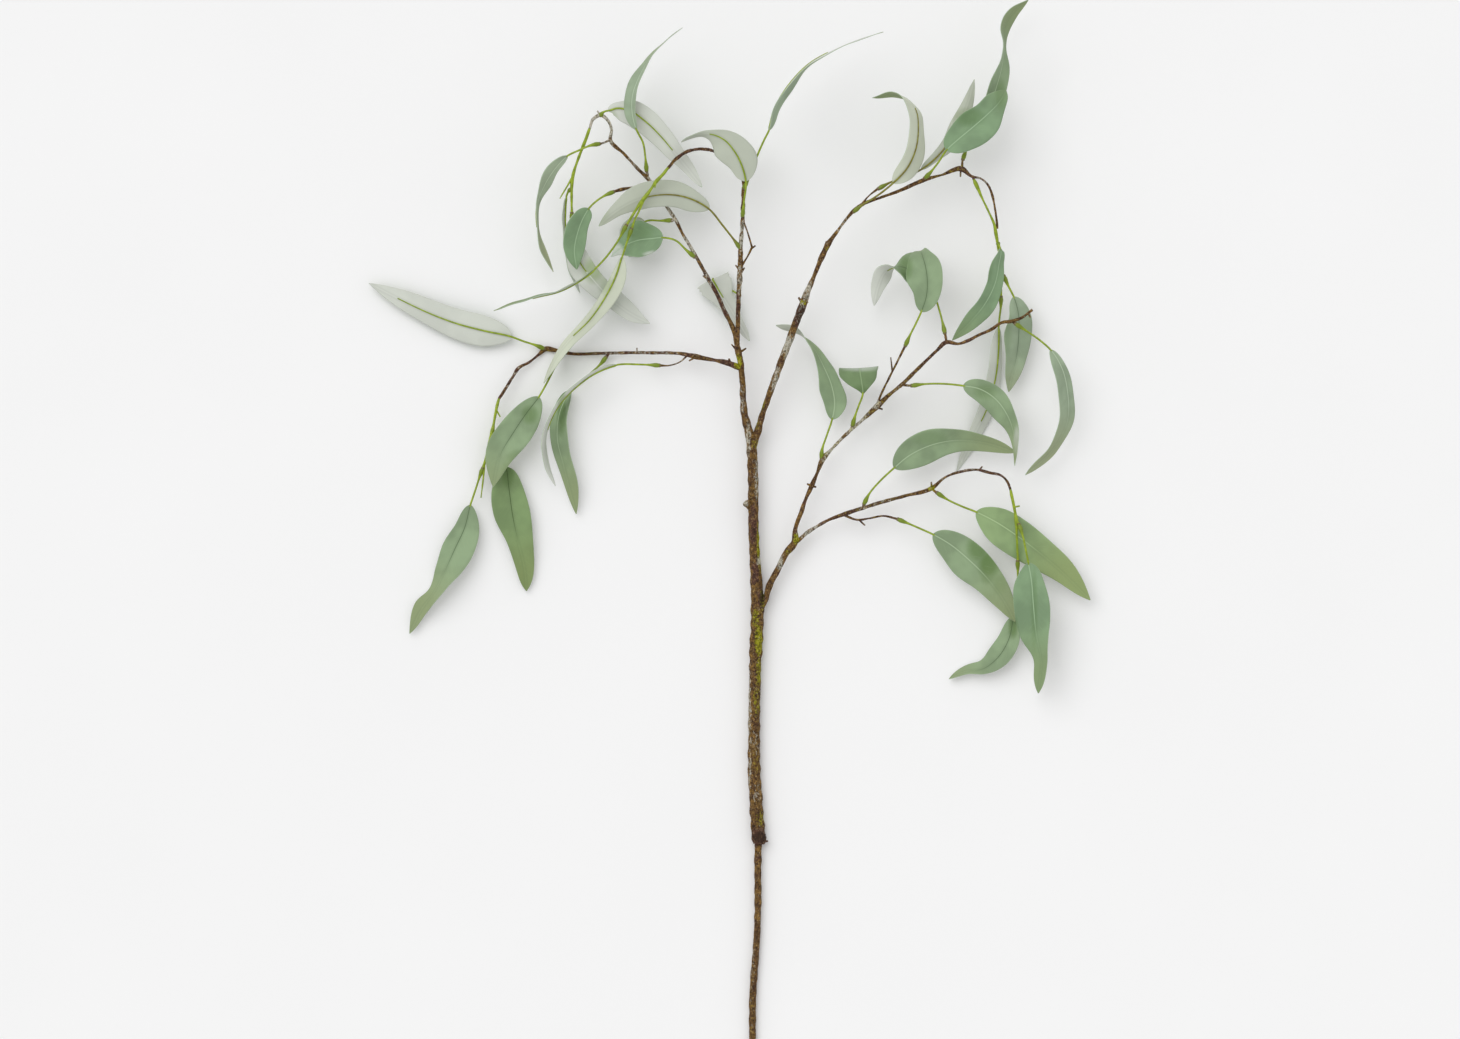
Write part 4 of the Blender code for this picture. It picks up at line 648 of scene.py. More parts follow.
            (1053.5, 448, 36, -36, 0.5, 0.7), (1025, 475, 32, -20, 1, 1),
        ],
    ),
    "leaf_lower_1": (
        34,
        [(863.4, 505, 22), (869, 494, 26), (880, 481, 29)],
        [
            (894, 468, 31, 8, 1.1, 1.1), (907, 457, 31.5, 12, 1.14, 1.12),
            (927, 446.5, 31, 22, 1.14, 1.02), (953, 440.5, 29, 28, 0.88, 0.78),
            (983, 442.5, 26, 24, 0.72, 0.78), (1016, 452.5, 23, 14, 1, 1),
        ],
    ),
    "leaf_lower_2": (
        37,
        [(896.5, 518.7, 20.5), (907, 523, 21), (920, 528.6, 21)],
        [
            (933, 534.5, 21, 0, 1, 1), (949.5, 544, 21, 2, 0.98, 1),
            (968.5, 559.5, 20.5, 4, 0.98, 1.1), (989.5, 581, 20, 6, 0.94, 0.94),
            (1004.5, 602, 19.5, 6, 1, 0.98), (1015, 622, 19, 6, 1, 1),
        ],
    ),
    "leaf_lower_3": (
        38,
        [(935.6, 492, 27), (948, 500, 25.5), (962, 506.5, 24)],
        [
            (976, 512, 23, 0, 1, 1.1), (994, 521, 22.5, 0, 1.04, 1.24),
            (1016.5, 535.5, 22, 2, 0.94, 1.12), (1041, 554, 21, 4, 0.9, 0.95),
            (1066, 576, 19, 4, 1.08, 0.8), (1090, 600, 16, 4, 1.1, 1),
        ],
    ),
    "leaf_lower_4": (
        30,
        [(1017.4, 559.6, 27.5), (1017.6, 575, 22), (1016.5, 596, 13)],
        [
            (1013.5, 616, 12, 20, 0.9, 0.8), (1008.5, 640, 11, 22, 0.9, 0.8),
            (997.5, 658, 10, 26, 0.85, 0.84), (983, 669, 8.5, 34, 0.56, 0.74),
            (966, 671.5, 7, 46, 0.5, 0.88), (948.8, 679, 6, 50, 1, 1),
        ],
    ),
    "leaf_lower_5": (
        38,
        [(1018.4, 523.4, 33.4), (1022.5, 536, 36.5), (1025.5, 550, 38)],
        [
            (1028, 563, 38, 0, 1, 1), (1031, 580, 38, 4, 0.86, 1.18),
            (1033, 604, 36.5, 8, 0.92, 1.05), (1036, 634, 34, 24, 0.85, 0.95),
            (1041, 660, 31, 46, 0.78, 0.74), (1038, 693, 28, 20, 1.1, 1.2),
        ],
    ),
}

# Fabrics: screen colours from 0 to 255 of the leaves' upper sides and undersides, one underside being
# the pale fabric in painted shade
UPPER_SIDES = {
    "sage": (138, 160, 123),
    "teal": (128, 156, 118),
    "grass": (123, 148, 98),
    "fresh": (141, 166, 116),
    "dark": (112, 136, 93),
    "dusty": (150, 168, 140),
    "misty": (168, 184, 156),
}
UNDERSIDES = {
    "light": (205, 209, 199),
    "cream": (200, 206, 186),
    # painted shade: the same pale underside fabric, darkened as if lying in shade
    "grey": (184, 190, 174),
}

# Each leaf's upper side, the line along it and its underside, where they aren't sage, a pale line and
# the underside in painted shade
LEAF_LOOKS = {
    "leaf_side_1": ("sage", "pale", "light"),
    "leaf_side_2": ("sage", "pale", "light"),
    "leaf_side_4": ("sage", "dark", "grey"),
    "leaf_side_5": ("sage", "dark", "grey"),
    "leaf_side_6": ("grass", "dark", "grey"),
    "leaf_leader_1": ("dusty", "pale", "light"),
    "leaf_leader_4": ("sage", "pale", "cream"),
    "leaf_upper_1": ("sage", "pale", "light"),
    "leaf_upper_2": ("dusty", "pale", "grey"),
    "leaf_upper_3": ("teal", "pale", "grey"),
    "leaf_upper_5": ("misty", "pale", "grey"),
    "leaf_upper_6": ("teal", "pale", "grey"),
    "leaf_upper_7": ("sage", "pale", "light"),
    "leaf_upper_8": ("misty", "pale", "light"),
    "leaf_leader_6": ("sage", "pale", "light"),
    "leaf_right_1": ("sage", "pale", "cream"),
    "leaf_right_2": ("teal", "pale", "grey"),
    "leaf_right_4": ("teal", "pale", "grey"),
    "leaf_right_5": ("teal", "pale", "grey"),
    "leaf_right_6": ("dusty", "dark", "grey"),
    "leaf_right_7": ("sage", "pale", "light"),
    "leaf_middle_2": ("dark", "pale", "grey"),
    "leaf_middle_3": ("sage", "dark", "grey"),
    "leaf_middle_4": ("sage", "dark", "light"),
    "leaf_middle_6": ("dusty", "pale", "grey"),
    "leaf_lower_2": ("sage", "pale", "grey"),
    "leaf_lower_3": ("fresh", "pale", "grey"),
    "leaf_lower_4": ("sage", "dark", "grey"),
    "leaf_lower_5": ("teal", "pale", "grey"),
}

# Leaves whose stalk and rib are browner
OLIVE_STALKS = ("leaf_leader_3", "leaf_right_1", "leaf_right_4")

# Patches, as rows of sheet x and y of the middle, reach along x and y, and strength: moss, ash-coloured
# and rust-brown paint on the bark, with painted shade in crevices where rust passes 1, and painted
# shade and paler fabric on the leaves
MOSS = (
    (758.5, 640, 5, 20, 0.95), (759, 670, 4.5, 20, 0.75), (757, 700, 5, 26, 0.55),
    (757, 760, 6, 24, 0.35), (760, 818, 6, 12, 0.55), (760, 545, 4, 32, 0.9),
    (762, 600, 3.5, 16, 0.6), (756, 618, 5, 12, 0.7), (796, 539, 4, 7, 0.9), (788, 552, 4, 4, 0.7),
    (755, 444, 5, 6, 0.6), (738, 362, 5, 9, 1.0), (735, 372, 4, 6, 0.6), (753, 900, 4, 40, 0.3),
    (752, 1010, 4, 50, 0.3), (762, 404, 4, 9, 0.7), (757, 424, 3, 8, 0.6), (785, 372, 3, 20, 0.45),
    (828, 250, 5, 5, 0.5), (741, 300, 2.5, 14, 0.3), (853, 428, 6, 5, 0.7), (830, 448, 16, 20, 0.6),
    (860, 420, 14, 12, 0.5), (931, 488, 5, 5, 0.8), (706, 359, 8, 3, 0.4), (546, 350, 5, 4, 0.5),
    (880, 400, 70, 70, 0.4), (870, 500, 60, 30, 0.4), (940, 165, 40, 20, 0.4),
    (803, 303, 4, 3.5, 1.0), (592, 353, 12, 3, 0.5),
)
LEAF_SHADE = (
    (978, 548, 12, 15, 1.0), (989, 564, 12, 16, 1.2), (988, 576, 8, 9, 0.7),
    (1000, 584, 8, 12, 0.6), (1013, 627, 5, 12, 1.0), (1034, 610, 3.5, 45, 0.5),
    (1018, 552, 6, 14, 0.5), (530, 415, 9, 10, 0.8), (562, 410, 5, 26, 1.0), (508, 475, 7, 14, 0.7),
    (518, 460, 12, 10, 0.6), (640, 232, 14, 10, 0.5), (600, 215, 10, 14, 0.35),
    (968, 118, 16, 10, 0.6), (1000, 95, 6, 16, 0.6), (860, 395, 10, 10, 0.6),
    (988, 250, 6, 30, 0.5), (1004, 330, 8, 30, 0.4), (985, 392, 12, 8, 0.5), (930, 438, 18, 8, 0.4),
    (905, 268, 8, 14, 0.8), (594, 270, 12, 14, 0.9), (606, 285, 8, 10, 0.5), (611, 122, 8, 12, 0.7),
)
LEAF_FADED = (
    (617, 254, 8, 11, 1.2), (655, 255, 12, 4, 1.0), (1017, 442, 4, 16, 1.0), (860, 367, 22, 5, 0.6),
)
PALE = (
    (745, 503, 5, 6, 0.8), (757, 478, 3.5, 28, 0.7), (748, 437, 3, 26, 0.8), (742, 470, 3, 16, 0.4),
    (780, 562, 4, 9, 1.0), (759, 561, 3, 5, 1.0), (749.5, 705, 1.8, 50, 0.8),
    (750, 772, 1.8, 25, 0.7), (757, 794, 5, 14, 0.35), (756, 742, 4, 16, 0.35),
    (806, 290, 8, 12, 1.0), (800, 312, 9, 16, 0.5), (790, 348, 9, 16, 1.1), (778, 385, 8, 22, 0.8),
    (838, 222, 14, 16, 0.55), (900, 172, 30, 12, 0.4), (672, 214, 10, 14, 1.0),
    (690, 247, 10, 18, 1.0), (707, 277, 9, 16, 0.6), (722, 305, 8, 14, 0.3), (650, 180, 9, 14, 0.5),
    (601, 124, 22, 24, 1.3), (741, 235, 5, 20, 0.8), (740, 280, 4, 25, 0.6),
    (742, 400, 4, 20, 0.45), (812, 531, 16, 10, 0.9), (870, 503, 30, 12, 0.45),
    (950, 470, 40, 16, 0.4), (875, 404, 6, 6, 1.2), (855, 425, 18, 20, 0.85),
    (832, 448, 20, 26, 0.8), (905, 380, 22, 22, 0.35), (680, 363, 14, 5, 0.5),
    (640, 353, 60, 8, 0.45), (612, 135, 10, 12, 0.9), (637, 166, 20, 12, 0.5),
    (512, 378, 20, 20, 0.4), (983, 180, 10, 10, 0.5), (752, 960, 4, 40, 0.3),
)
# rust-brown paint patches; past strength 1 they also paint near-black shade in crevices where stems
# meet
RUST_AND_CREVICE_SHADE = (
    (763, 700, 4, 26, 0.9), (764, 668, 3, 18, 0.7), (752, 525, 5, 26, 0.8), (760, 837, 11, 9, 1.5),
    (757, 850, 5, 12, 0.5), (755, 573, 5, 14, 0.8), (800, 533, 8, 5, 0.7), (779, 583, 6, 14, 0.6),
    (860, 512, 60, 30, 0.7), (1000, 475, 60, 30, 0.8), (925, 345, 90, 50, 0.6),
    (930, 160, 50, 20, 0.7), (970, 175, 20, 30, 0.7), (630, 352, 90, 10, 0.6),
    (762, 598, 4, 10, 1.7), (690, 150, 40, 12, 0.7), (520, 375, 40, 40, 0.7),
    (720, 365, 20, 12, 0.6), (735, 330, 8, 40, 0.4), (718, 298, 26, 30, 1.1),
    (655, 190, 14, 16, 0.8), (778, 360, 5, 60, 0.4), (801, 317, 7, 17, 1.45),
)


# Where a patch ends: the square of the distance from its middle, in reaches
PATCH_EDGE = 1.25


def at(points):
    """World points in metres of rows of sheet points in millimetres."""
    return (np.asarray(points) - (SHEET_MIDDLE_X, SHEET_MIDDLE_Y, 0.0)) * (MM, -MM, MM)


def unit(rows):
    return rows / np.linalg.norm(rows, axis=-1, keepdims=True)


def smooth(knots, rows, distances):
    """The rows at these distances, on a smooth curve through those at the knots."""
    slopes = np.gradient(rows, knots, axis=0)
    place = np.clip(np.searchsorted(knots, distances, "right") - 1, 0, len(knots) - 2)
    span = (knots[place + 1] - knots[place])[:, None]
    t = (np.asarray(distances)[:, None] - knots[place][:, None]) / span
    start = rows[place] * (1 + 2 * t) * (1 - t) ** 2
    end = rows[place + 1] * t**2 * (3 - 2 * t)
    leave = slopes[place] * span * t * (1 - t) ** 2
    arrive = slopes[place + 1] * span * t**2 * (t - 1)
    return start + end + leave + arrive


class Curve:
    """Smooth curve through rows of numbers whose first three are x, y and z."""

    def __init__(self, rows):
        self.rows = np.array(rows, float)
        steps = np.linalg.norm(np.diff(self.rows[:, :3], axis=0), axis=1)
        self.knots = np.concatenate([[0.0], np.cumsum(steps)])

    def read(self, distances):
        return smooth(self.knots, self.rows, distances)


def frames(points, up_index=0):
    """Side and up directions at each point, carried along the path without spin.

    At the point up_index, up is as near to +Z as the path allows.
    """
    forward = unit(np.gradient(points, axis=0))
    up = np.zeros_like(forward)
    start = np.array((0.0, 0.0, 1.0))
    up[up_index] = unit(start - forward[up_index] * (forward[up_index] @ start))
    onward = range(up_index + 1, len(points))
    backward = range(up_index - 1, -1, -1)
    for order, step in ((onward, -1), (backward, 1)):
        for i in order:
            carried = up[i + step]
            up[i] = unit(carried - forward[i] * (forward[i] @ carried))
    return np.cross(forward, up), up


def grid(bm, columns, rows):
    """New grid in bm: its vertices, and each one's column and row number."""
    made = bmesh.ops.create_grid(bm, x_segments=columns, y_segments=rows, size=0.5)["verts"]
    spots = np.array([vert.co.xy for vert in made]) + 0.5
    return made, np.rint(spots[:, 0] * columns).astype(int), np.rint(spots[:, 1] * rows).astype(int)


def place(verts, points, layer, values):
    """Moves the vertices to sheet points and writes their values in this layer."""
    for vert, point, value in zip(verts, at(points), values):
        vert.co = point
        vert[layer] = value


def piece(name, bm, looks, nodes):
    """An object of this mesh that rides on the branch and stands for these CAD nodes."""
    mesh = bpy.data.meshes.new(name)
    bm.to_mesh(mesh)
    bm.free()
    for look in looks:
        mesh.materials.append(look)
    mesh.shade_smooth()
    mesh.set_sharp_from_angle(angle=math.radians(SMOOTH_ANGLE))
    obj = bpy.data.objects.new(name, mesh)
    bpy.context.scene.collection.objects.link(obj)
    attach(obj, "root")
    if nodes:
        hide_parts(*nodes)
    return obj


def tube(bm, layer, values, points, radii, sides, side, up, relief=None):
    """Closed tube along points.

    values gives what each vertex has in the layer, from its spot and ring. relief gives its extra
    radius, from its angle, spot and ring.
    """
    rings = len(points) - 1
    verts, column, row = grid(bm, sides, rings)
    angle = column * math.tau / sides
    out = np.cos(angle)[:, None] * side[row] + np.sin(angle)[:, None] * up[row]
    radius = radii[row]
    if relief is not None:
        radius = radius + relief(angle, points[row] + out * radius[:, None], row)
    spots = points[row] + out * radius[:, None]
    place(verts, spots, layer, values(spots, row))
    bmesh.ops.remove_doubles(bm, verts=verts, dist=1e-6)
    made = [vert for vert in verts if vert.is_valid]
    edges = {edge for vert in made for edge in vert.link_edges if edge.is_boundary}
    bmesh.ops.holes_fill(bm, edges=list(edges), sides=sides)


def paint_at(points, patches):
    """How strong these patches are at sheet points, where 0 is none."""
    found = np.zeros(len(points))
    for x, y, across, along, strength in patches:
        away = np.hypot((points[:, 0] - x) / across, (points[:, 1] - y) / along)
        found = np.maximum(found, strength * np.clip(PATCH_EDGE - away**2, 0, 1))
    return found


def bark_relief(size, distances):
    """Ridges along the stem and grain across it, as a share of the stem's size."""

    def read(angle, spots, row):
        out = []
        for a, spot, r in zip(angle, spots, row):
            across = (math.cos(a) * RIDGES_ROUND, math.sin(a) * RIDGES_ROUND)
            ridge = noise.noise(Vector((*across, distances[r] / RIDGE_LENGTH)))
            grain = noise.noise(Vector(spot) / GRAIN_SIZE)
            out.append(size * (RIDGE_SHARE * ridge + GRAIN_SHARE * grain - RELIEF_DROP))
        return np.array(out)

    return read


def bark_paint(spots, row):
    """Moss, pale and rust paint, and painted shade in crevices, at these sheet points."""
    return np.stack([paint_at(spots, patches) for patches in (MOSS, PALE, RUST_AND_CREVICE_SHADE)], axis=1)


def stem(name, look, sides, path, spurs):
    """A stem or twig with its side shoots, as one piece."""
    bm = bmesh.new()
    paint = bm.verts.layers.float_vector.new("paint")
    for number, rows in enumerate([path, *spurs]):
        curve = Curve(rows)
        length = curve.knots[-1]
        distances = np.linspace(0, length, max(FEWEST_RINGS, round(length / STEM_STEP)))
        read = curve.read(distances)
        points, radii = read[:, :3], read[:, 3]
        swell = 1 + SWELL_SHARE * np.sin(distances / SWELL_LENGTH)
        radii = radii * np.interp(radii, *THINNING) * swell
        relief = bark_relief(float(np.median(radii)), distances)
        around = SPUR_SIDES if number else sides
        tube(bm, paint, bark_paint, points, radii, around, *frames(points), relief)
    piece(name + "_skin", bm, [look], [name])


def half_width(share, width):
    """Half the blade's usual width at these shares of its length."""
    peak = BLADE_BASE_POWER / (BLADE_BASE_POWER + BLADE_TIP_POWER)
    highest = peak**BLADE_BASE_POWER * (1 - peak) ** BLADE_TIP_POWER
    half = width / 2 * share**BLADE_BASE_POWER * (1 - share) ** BLADE_TIP_POWER / highest
    return np.maximum(half, np.where(share < 0.5, STALK_RADIUS, BLADE_TIP_HALF_WIDTH))


def blade_frames(stalk, blade):
    """The leaf's line and its directions, read from the CAD leaf's own cross-sections."""
    first = blade[0][3:]
    curve = Curve([(*point, *first) for point in stalk] + list(blade))
    base = curve.knots[len(stalk)]
    length = curve.knots[-1] - base
    socket_end = min(SOCKET_END, SOCKET_END_SHARE * base)
    stops = [0.0, SOCKET_STOP, socket_end]
    stops += [socket_end + share * (base - socket_end) for share in STALK_STOPS]
    first_stop = len(stops)
    stops = np.array(stops + [base + share * length for share in BLADE_STOPS])
    rows = curve.read(stops)
    side, up = frames(rows[:, :3], first_stop)
    tilt = np.radians(rows[:, 3])[:, None]
    across = np.cos(tilt) * side + np.sin(tilt) * up
    above = np.cos(tilt) * up - np.sin(tilt) * side

    leading = np.linspace(0, base, max(8, round(base / STALK_STEP)))[:-1]
    even = np.linspace(0, 1, BLADE_ROWS + 1)
    shares = even - ROW_CROWDING * np.sin(math.tau * even)
    distances = np.concatenate([leading, base + shares * length])
    read = curve.read(distances)
    turned = smooth(stops, np.hstack([across, above]), distances)
    across, above = unit(turned[:, :3]), unit(turned[:, 3:])
    start = len(leading)
    return distances, read[:, :3], across, above, shares, start, read[start:, 4:]


def leaf(name, looks, rib_look, width, stalk, blade):
    """A leaf's blade, whose looks are upper side, underside and rim, and its stalk with the rib."""
    distances, points, across, above, shares, start, fullness = blade_frames(stalk, blade)
    base = distances[start]
    length = distances[-1] - base

    bm = bmesh.new()
    in_blade = bm.verts.layers.float_vector.new("in_blade")
    shade = bm.verts.layers.float.new("shade")
    verts, column, row = grid(bm, BLADE_COLUMNS, BLADE_ROWS)
    s = 1 - 2 * column / BLADE_COLUMNS
    half = half_width(shares[row], width) * np.where(s > 0, fullness[row, 0], fullness[row, 1])
    cup = math.radians(CUPS.get(name, CUP_DEGREES))
    wave = WAVE_HEIGHT * np.sin(shares[row] * WAVES_ALONG + width) * np.abs(s) ** 3
    lift = (half * math.sin(cup) * np.abs(s) ** CUP_POWER + wave)[:, None]
    wide = (s * half * math.cos(cup))[:, None]
    spots = points[start + row] + wide * across[start + row] + lift * above[start + row]
    place(verts, spots, in_blade, np.stack([s * half, shares[row] * length, s], axis=1))
    place(verts, spots, shade, paint_at(spots, LEAF_SHADE) - paint_at(spots, LEAF_FADED))
    obj = piece(name + "_blade", bm, looks, [name])
    thick = obj.modifiers.new("thickness", "SOLIDIFY")
    thick.thickness = BLADE_THICKNESS * MM
    thick.offset = 0.0
    thick.material_offset = 1
    thick.material_offset_rim = 2

    rib_share = RIB_SHARES.get(name, RIB_SHARE)
    rib_rows = int(np.searchsorted(shares, rib_share))
    last = start + rib_rows
    distances = distances[:last]
    known, sizes = zip(*SOCKET_SHAPE)
    thin = np.clip((distances - base) / (rib_share * length), 0, 1)
    squeeze = min(1.0, base / WHOLE_SOCKET_STALK)
    radii = np.interp(distances / squeeze, known, sizes)
    radii = np.where(distances < base, np.maximum(radii, STALK_RADIUS), STALK_RADIUS)
    radii = radii * (1 - thin) + RIB_END_RADIUS * thin
    sink = (radii - RIB_SINK) * np.clip((distances - base) / RIB_SINK_LENGTH, 0, 1)
    centre = points[:last] - sink[:, None] * above[:last]

    bm = bmesh.new()
    socket = bm.verts.layers.float.new("socket")
    thick_part = np.clip(1 - distances / (SOCKET_REACH * squeeze), 0, 1)
    side, up = across[:last], above[:last]
    tube(bm, socket, lambda spots, row: thick_part[row], centre, radii, STALK_SIDES, side, up)
    piece(name + "_stalk", bm, [rib_look], [])


# Materials


class Nodes:
    """Short calls for a material's node tree."""

    def __init__(self, name, roughness):
        self.material = bpy.data.materials.new(name)
        self.material.use_nodes = True
        self.tree = self.material.node_tree
        self.shader = self.tree.nodes["Principled BSDF"]
        self.shader.inputs["Roughness"].default_value = roughness
        self.mm = self.scaled(self.add("ShaderNodeTexCoord").outputs["Object"], 1000.0)

    def add(self, kind, **settings):
        node = self.tree.nodes.new(kind)
        for key, value in settings.items():
            setattr(node, key, value)
        return node

    def feed(self, socket, value):
        if isinstance(value, bpy.types.NodeSocket):
            self.tree.links.new(value, socket)
        elif value is not None:
            socket.default_value = value

    def scaled(self, vector, factor):
        node = self.add("ShaderNodeVectorMath", operation="SCALE")
        self.feed(node.inputs[0], vector)
        node.inputs["Scale"].default_value = factor
        return node.outputs[0]

    def math(self, operation, first, second=None, clamp=False):
        node = self.add("ShaderNodeMath", operation=operation, use_clamp=clamp)
        for socket, value in zip(node.inputs, (first, second)):
            self.feed(socket, value)
        return node.outputs[0]

    def attribute(self, name, part=None):
        node = self.add("ShaderNodeAttribute", attribute_name=name)
        if part is None:
            return node.outputs["Fac"]
        split = self.add("ShaderNodeSeparateXYZ")
        self.feed(split.inputs[0], node.outputs["Vector"])
        return split.outputs[part]

    def noise(self, scale, detail=3.0, roughness=0.55, stretch=None):
        node = self.add("ShaderNodeTexNoise")
        source = self.mm
        if stretch is not None:
            mapping = self.add("ShaderNodeMapping")
            self.feed(mapping.inputs["Vector"], source)
            mapping.inputs["Scale"].default_value = stretch
            source = mapping.outputs[0]
        self.feed(node.inputs["Vector"], source)
        node.inputs["Scale"].default_value = scale
        node.inputs["Detail"].default_value = detail
        node.inputs["Roughness"].default_value = roughness
        return node.outputs["Fac"]

    def ramp(self, value, low, high):
        """0 below low and 1 above high, smooth between."""
        node = self.add("ShaderNodeMapRange", interpolation_type="SMOOTHSTEP")
        self.feed(node.inputs["Value"], value)
        node.inputs["From Min"].default_value = low
        node.inputs["From Max"].default_value = high
        return node.outputs["Result"]

    def mix(self, share, first, second):
        node = self.add("ShaderNodeMix", data_type="RGBA")
        self.feed(node.inputs[0], share)
        self.feed(node.inputs[6], (*first, 1.0) if isinstance(first, tuple) else first)
        self.feed(node.inputs[7], (*second, 1.0) if isinstance(second, tuple) else second)
        return node.outputs[2]

    def finish(self, colour, height=None, depth=0.2):
        self.feed(self.shader.inputs["Base Color"], colour)
        if height is not None:
            bump = self.add("ShaderNodeBump")
            bump.inputs["Strength"].default_value = 1.0
            bump.inputs["Distance"].default_value = depth * MM
            self.feed(bump.inputs["Height"], height)
            self.feed(self.shader.inputs["Normal"], bump.outputs[0])
        return self.material


def srgb(red, green, blue):
    """Linear colour of screen values from 0 to 255."""
    shares = (red / 255, green / 255, blue / 255)
    return tuple(v / 12.92 if v < 0.04045 else ((v + 0.055) / 1.055) ** 2.4 for v in shares)


def leaf_look(name, colour, line_colour, vein_strength, sheen, cloudy=0.16, olive_tip=0.0):
    """Fabric of this colour with a line along its middle, faint side veins and a browner tip, darkened
    as painted shade in its shade patches and in a band beside the line.
    """
    n = Nodes(name, 0.74)
    n.shader.inputs["Sheen Weight"].default_value = sheen
    n.shader.inputs["Sheen Roughness"].default_value = 0.5
    across = n.math("ABSOLUTE", n.attribute("in_blade", "X"))
    along = n.attribute("in_blade", "Y")
    edge = n.math("ABSOLUTE", n.attribute("in_blade", "Z"))
    cloud = n.ramp(n.noise(0.035, 2.0), 0.35, 0.65)
    deeper = tuple((1 - cloudy) * v for v in colour)
    base = n.mix(cloud, deeper, tuple((1 + cloudy / 2) * v for v in colour))
    # painted shade: where a leaf's shade patches are, it is darkened toward deep green
    shade = n.attribute("shade")
    painted_shade_colour = tuple(v * share for v, share in zip(colour, (0.4, 0.54, 0.22)))
    base = n.mix(n.math("MULTIPLY", shade, 0.75, clamp=True), base, painted_shade_colour)
    base = n.mix(n.math("MULTIPLY", shade, -1.0, clamp=True), base, srgb(196, 203, 192))
    tip_colour = tuple(v * share for v, share in zip(colour, (1.05, 0.93, 0.79)))
    base = n.mix(n.math("MULTIPLY", n.ramp(along, 50.0, 115.0), olive_tip), base, tip_colour)
    weave = n.noise(1.7, 2.0, 0.6)
    base = n.mix(n.math("MULTIPLY", weave, 0.08), base, tuple(0.5 * v for v in colour))
    slant = n.math("SUBTRACT", along, n.math("MULTIPLY", across, 1.15))
    wobble = n.math("MULTIPLY", n.noise(0.09, 1.0), 5.0)
    stripe = n.math("PINGPONG", n.math("ADD", slant, wobble), 3.4)
    vein = n.math("SUBTRACT", 1.0, n.ramp(stripe, 0.0, 0.6))
    vein = n.math("MULTIPLY", vein, n.math("SUBTRACT", 1.0, n.ramp(edge, 0.4, 0.9)))
    vein = n.math("MULTIPLY", vein, n.ramp(n.noise(0.12, 1.0), 0.42, 0.6))
    pale = tuple(min(1.0, 1.3 * v + 0.04) for v in colour)
    base = n.mix(n.math("MULTIPLY", vein, vein_strength), base, pale)
    middle_line = n.math("SUBTRACT", 1.0, n.ramp(across, 0.3, 0.65))
    middle_line = n.math("MULTIPLY", middle_line, n.math("SUBTRACT", 1.0, n.ramp(along, 45.0, 85.0)))
    base = n.mix(n.math("MULTIPLY", middle_line, 0.85), base, line_colour)
    # painted shade: a darker band on each side of the middle line, in the crease of the blade
    beside = n.math("SUBTRACT", 1.0, n.ramp(across, 1.0, 3.0))
    groove_shade = n.math("MULTIPLY", n.ramp(across, 0.5, 0.9), beside)
    base = n.mix(n.math("MULTIPLY", groove_shade, 0.16), base, tuple(0.45 * v for v in colour))
    rim = n.ramp(edge, 0.94, 1.0)
    base = n.mix(n.math("MULTIPLY", rim, 0.3), base, pale)
    height = n.math("SUBTRACT", n.math("MULTIPLY", weave, 0.3), n.math("MULTIPLY", vein, 0.3))
    return n.finish(base, height, 0.1)


def bark_look():
    """Brown painted plastic bark with moss, ash-coloured and rust-brown paint where its patches are,
    and painted shade, near black, where rust patches pass strength 1.
    """
    n = Nodes("painted_bark_skin", 0.85)
    n.shader.inputs["Specular IOR Level"].default_value = 0.2
    moss = n.attribute("paint", "X")
    pale = n.attribute("paint", "Y")
    rust_and_crevice_shade = n.attribute("paint", "Z")
    patches = n.noise(0.13, 3.0)
    mottle = n.noise(0.3, 5.0, 0.8)
    grain = n.noise(0.6, 4.0, 0.8, (1.0, 0.7, 1.0))
    streaks = n.noise(0.4, 5.0, 0.85, (1.0, 0.5, 1.0))
    base = n.mix(n.ramp(patches, 0.42, 0.58), srgb(106, 79, 40), srgb(84, 59, 37))
    rust = n.ramp(n.math("ADD", patches, n.math("MULTIPLY", rust_and_crevice_shade, 0.45)), 0.62, 0.84)
    base = n.mix(rust, base, srgb(80, 53, 43))
    base = n.mix(n.ramp(mottle, 0.53, 0.62), base, n.mix(rust, srgb(148, 114, 58), srgb(120, 88, 66)))
    base = n.mix(n.math("MULTIPLY", n.ramp(mottle, 0.48, 0.38), 0.9), base, srgb(42, 30, 20))
    green = n.ramp(n.math("ADD", mottle, n.math("MULTIPLY", moss, 0.34)), 0.64, 0.82)
    green = n.math("MULTIPLY", green, n.ramp(moss, 0.05, 0.4))
    base = n.mix(green, base, n.mix(n.ramp(grain, 0.42, 0.58), srgb(100, 98, 6), srgb(156, 154, 22)))
    ash = n.ramp(n.math("ADD", streaks, n.math("MULTIPLY", pale, 0.2)), 0.6, 0.68)
    ash_colour = n.mix(n.ramp(grain, 0.42, 0.58), srgb(134, 132, 112), srgb(208, 205, 192))
    base = n.mix(n.math("MULTIPLY", ash, 0.85), base, ash_colour)
    base = n.mix(n.math("MULTIPLY", n.ramp(grain, 0.57, 0.64), 0.6), base, srgb(178, 154, 108))
    base = n.mix(n.math("MULTIPLY", n.ramp(grain, 0.44, 0.37), 0.85), base, srgb(38, 26, 20))
    # painted shade: near black where a rust patch passes strength 1, in the crevices where stems meet
    base = n.mix(n.math("MULTIPLY", n.ramp(rust_and_crevice_shade, 1.0, 1.5), 0.6), base, srgb(34, 24, 16))
    height = n.math("ADD", n.math("MULTIPLY", mottle, 0.8), n.math("MULTIPLY", grain, 0.5))
    return n.finish(base, height, 0.6)


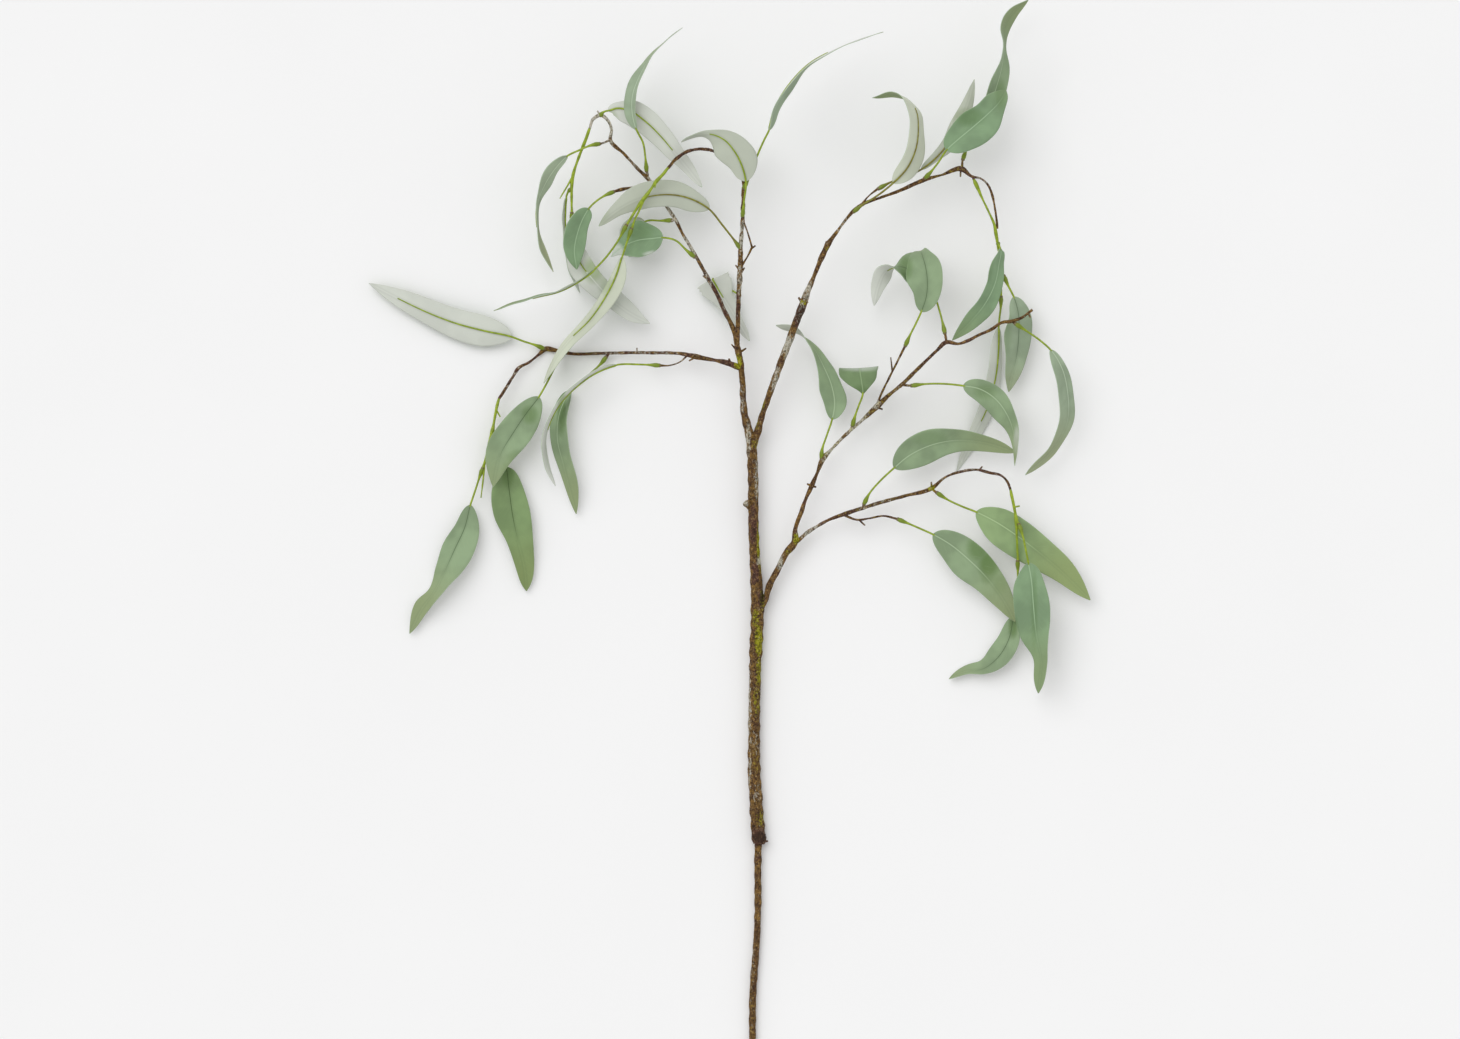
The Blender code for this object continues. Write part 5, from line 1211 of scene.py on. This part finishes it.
def green_look(name, dark, light):
    """Moulded plastic in patches of these colours, with a green socket that has a brown end."""
    n = Nodes(name, 0.42)
    socket = n.attribute("socket")
    patches = n.noise(0.22, 2.0)
    base = n.mix(n.ramp(patches, 0.4, 0.65), dark, light)
    base = n.mix(n.math("MULTIPLY", n.ramp(socket, 0.05, 0.5), 0.8), base, srgb(108, 128, 18))
    base = n.mix(n.math("MULTIPLY", n.ramp(socket, 0.82, 0.93), 0.85), base, srgb(106, 84, 62))
    fine = n.noise(0.9, 3.0)
    base = n.mix(n.math("MULTIPLY", n.ramp(fine, 0.56, 0.72), 0.5), base, srgb(92, 90, 26))
    return n.finish(base, fine, 0.15)


def floor_look():
    n = Nodes("table", 0.9)
    base = n.mix(n.noise(0.004, 2.0), srgb(243, 243, 243), srgb(246, 246, 246))
    return n.finish(base)


bark = bark_look()
green_plastic = green_look("green_plastic_skin", srgb(126, 146, 12), srgb(150, 170, 28))
olive_plastic = green_look("olive_plastic_skin", srgb(112, 104, 22), srgb(132, 132, 34))
rim = leaf_look("leaf_edge", srgb(168, 184, 158), srgb(168, 184, 158), 0.0, 0.0)
upper = {}
for fabric, screen in UPPER_SIDES.items():
    for line, change in (("pale", 30), ("dark", -64)):
        name = f"leaf_{fabric}_{line}_line"
        line_colour = srgb(*(value + change for value in screen))
        upper[fabric, line] = leaf_look(name, srgb(*screen), line_colour, 0.16, 0.06, olive_tip=0.9)
under = {}
for fabric, screen in UNDERSIDES.items():
    under[fabric] = leaf_look("leaf_underside_" + fabric, srgb(*screen), srgb(*screen), 0.0, 0.05, 0.05)

for name, (path, spurs) in STEMS.items():
    is_twig = name.startswith("twig")
    sides = STEM_SIDES if name.startswith("stem") else TWIG_SIDES
    look = green_plastic if is_twig else bark
    stem(name, look, sides, path, spurs)
for name, (width, stalk, blade) in LEAVES.items():
    fabric, line, back = LEAF_LOOKS.get(name, ("sage", "pale", "grey"))
    stalk_look = olive_plastic if name in OLIVE_STALKS else green_plastic
    leaf(name, [upper[fabric, line], under[back], rim], stalk_look, width, stalk, blade)

# Table
bm = bmesh.new()
bmesh.ops.create_grid(bm, x_segments=4, y_segments=4, size=60.0)
mesh = bpy.data.meshes.new("table_top")
bm.to_mesh(mesh)
bm.free()
mesh.materials.append(floor_look())
table = bpy.data.objects.new("table_top", mesh)
bpy.context.scene.collection.objects.link(table)

# Light
world = bpy.data.worlds.new("studio")
world.use_nodes = True
world.node_tree.nodes["Background"].inputs["Color"].default_value = (1.0, 1.0, 1.0, 1.0)
world.node_tree.nodes["Background"].inputs["Strength"].default_value = 0.72
bpy.context.scene.world = world
sun = bpy.data.lights.new("soft_key", "SUN")
sun.energy = 1.1
sun.angle = math.radians(50)
lamp = bpy.data.objects.new("soft_key", sun)
lamp.rotation_euler = (math.radians(-28), math.radians(-24), 0.0)
bpy.context.scene.collection.objects.link(lamp)

# Camera
lens = bpy.data.cameras.new("camera")
lens.sensor_width = 36.0
lens.lens = 36.0 * CAMERA_HEIGHT / PHOTO_WIDTH
lens.clip_end = 200.0
camera = bpy.data.objects.new("camera", lens)
camera.location = (*PHOTO_MIDDLE, CAMERA_HEIGHT)
bpy.context.scene.collection.objects.link(camera)
bpy.context.scene.camera = camera
bpy.context.scene.view_settings.view_transform = "Standard"
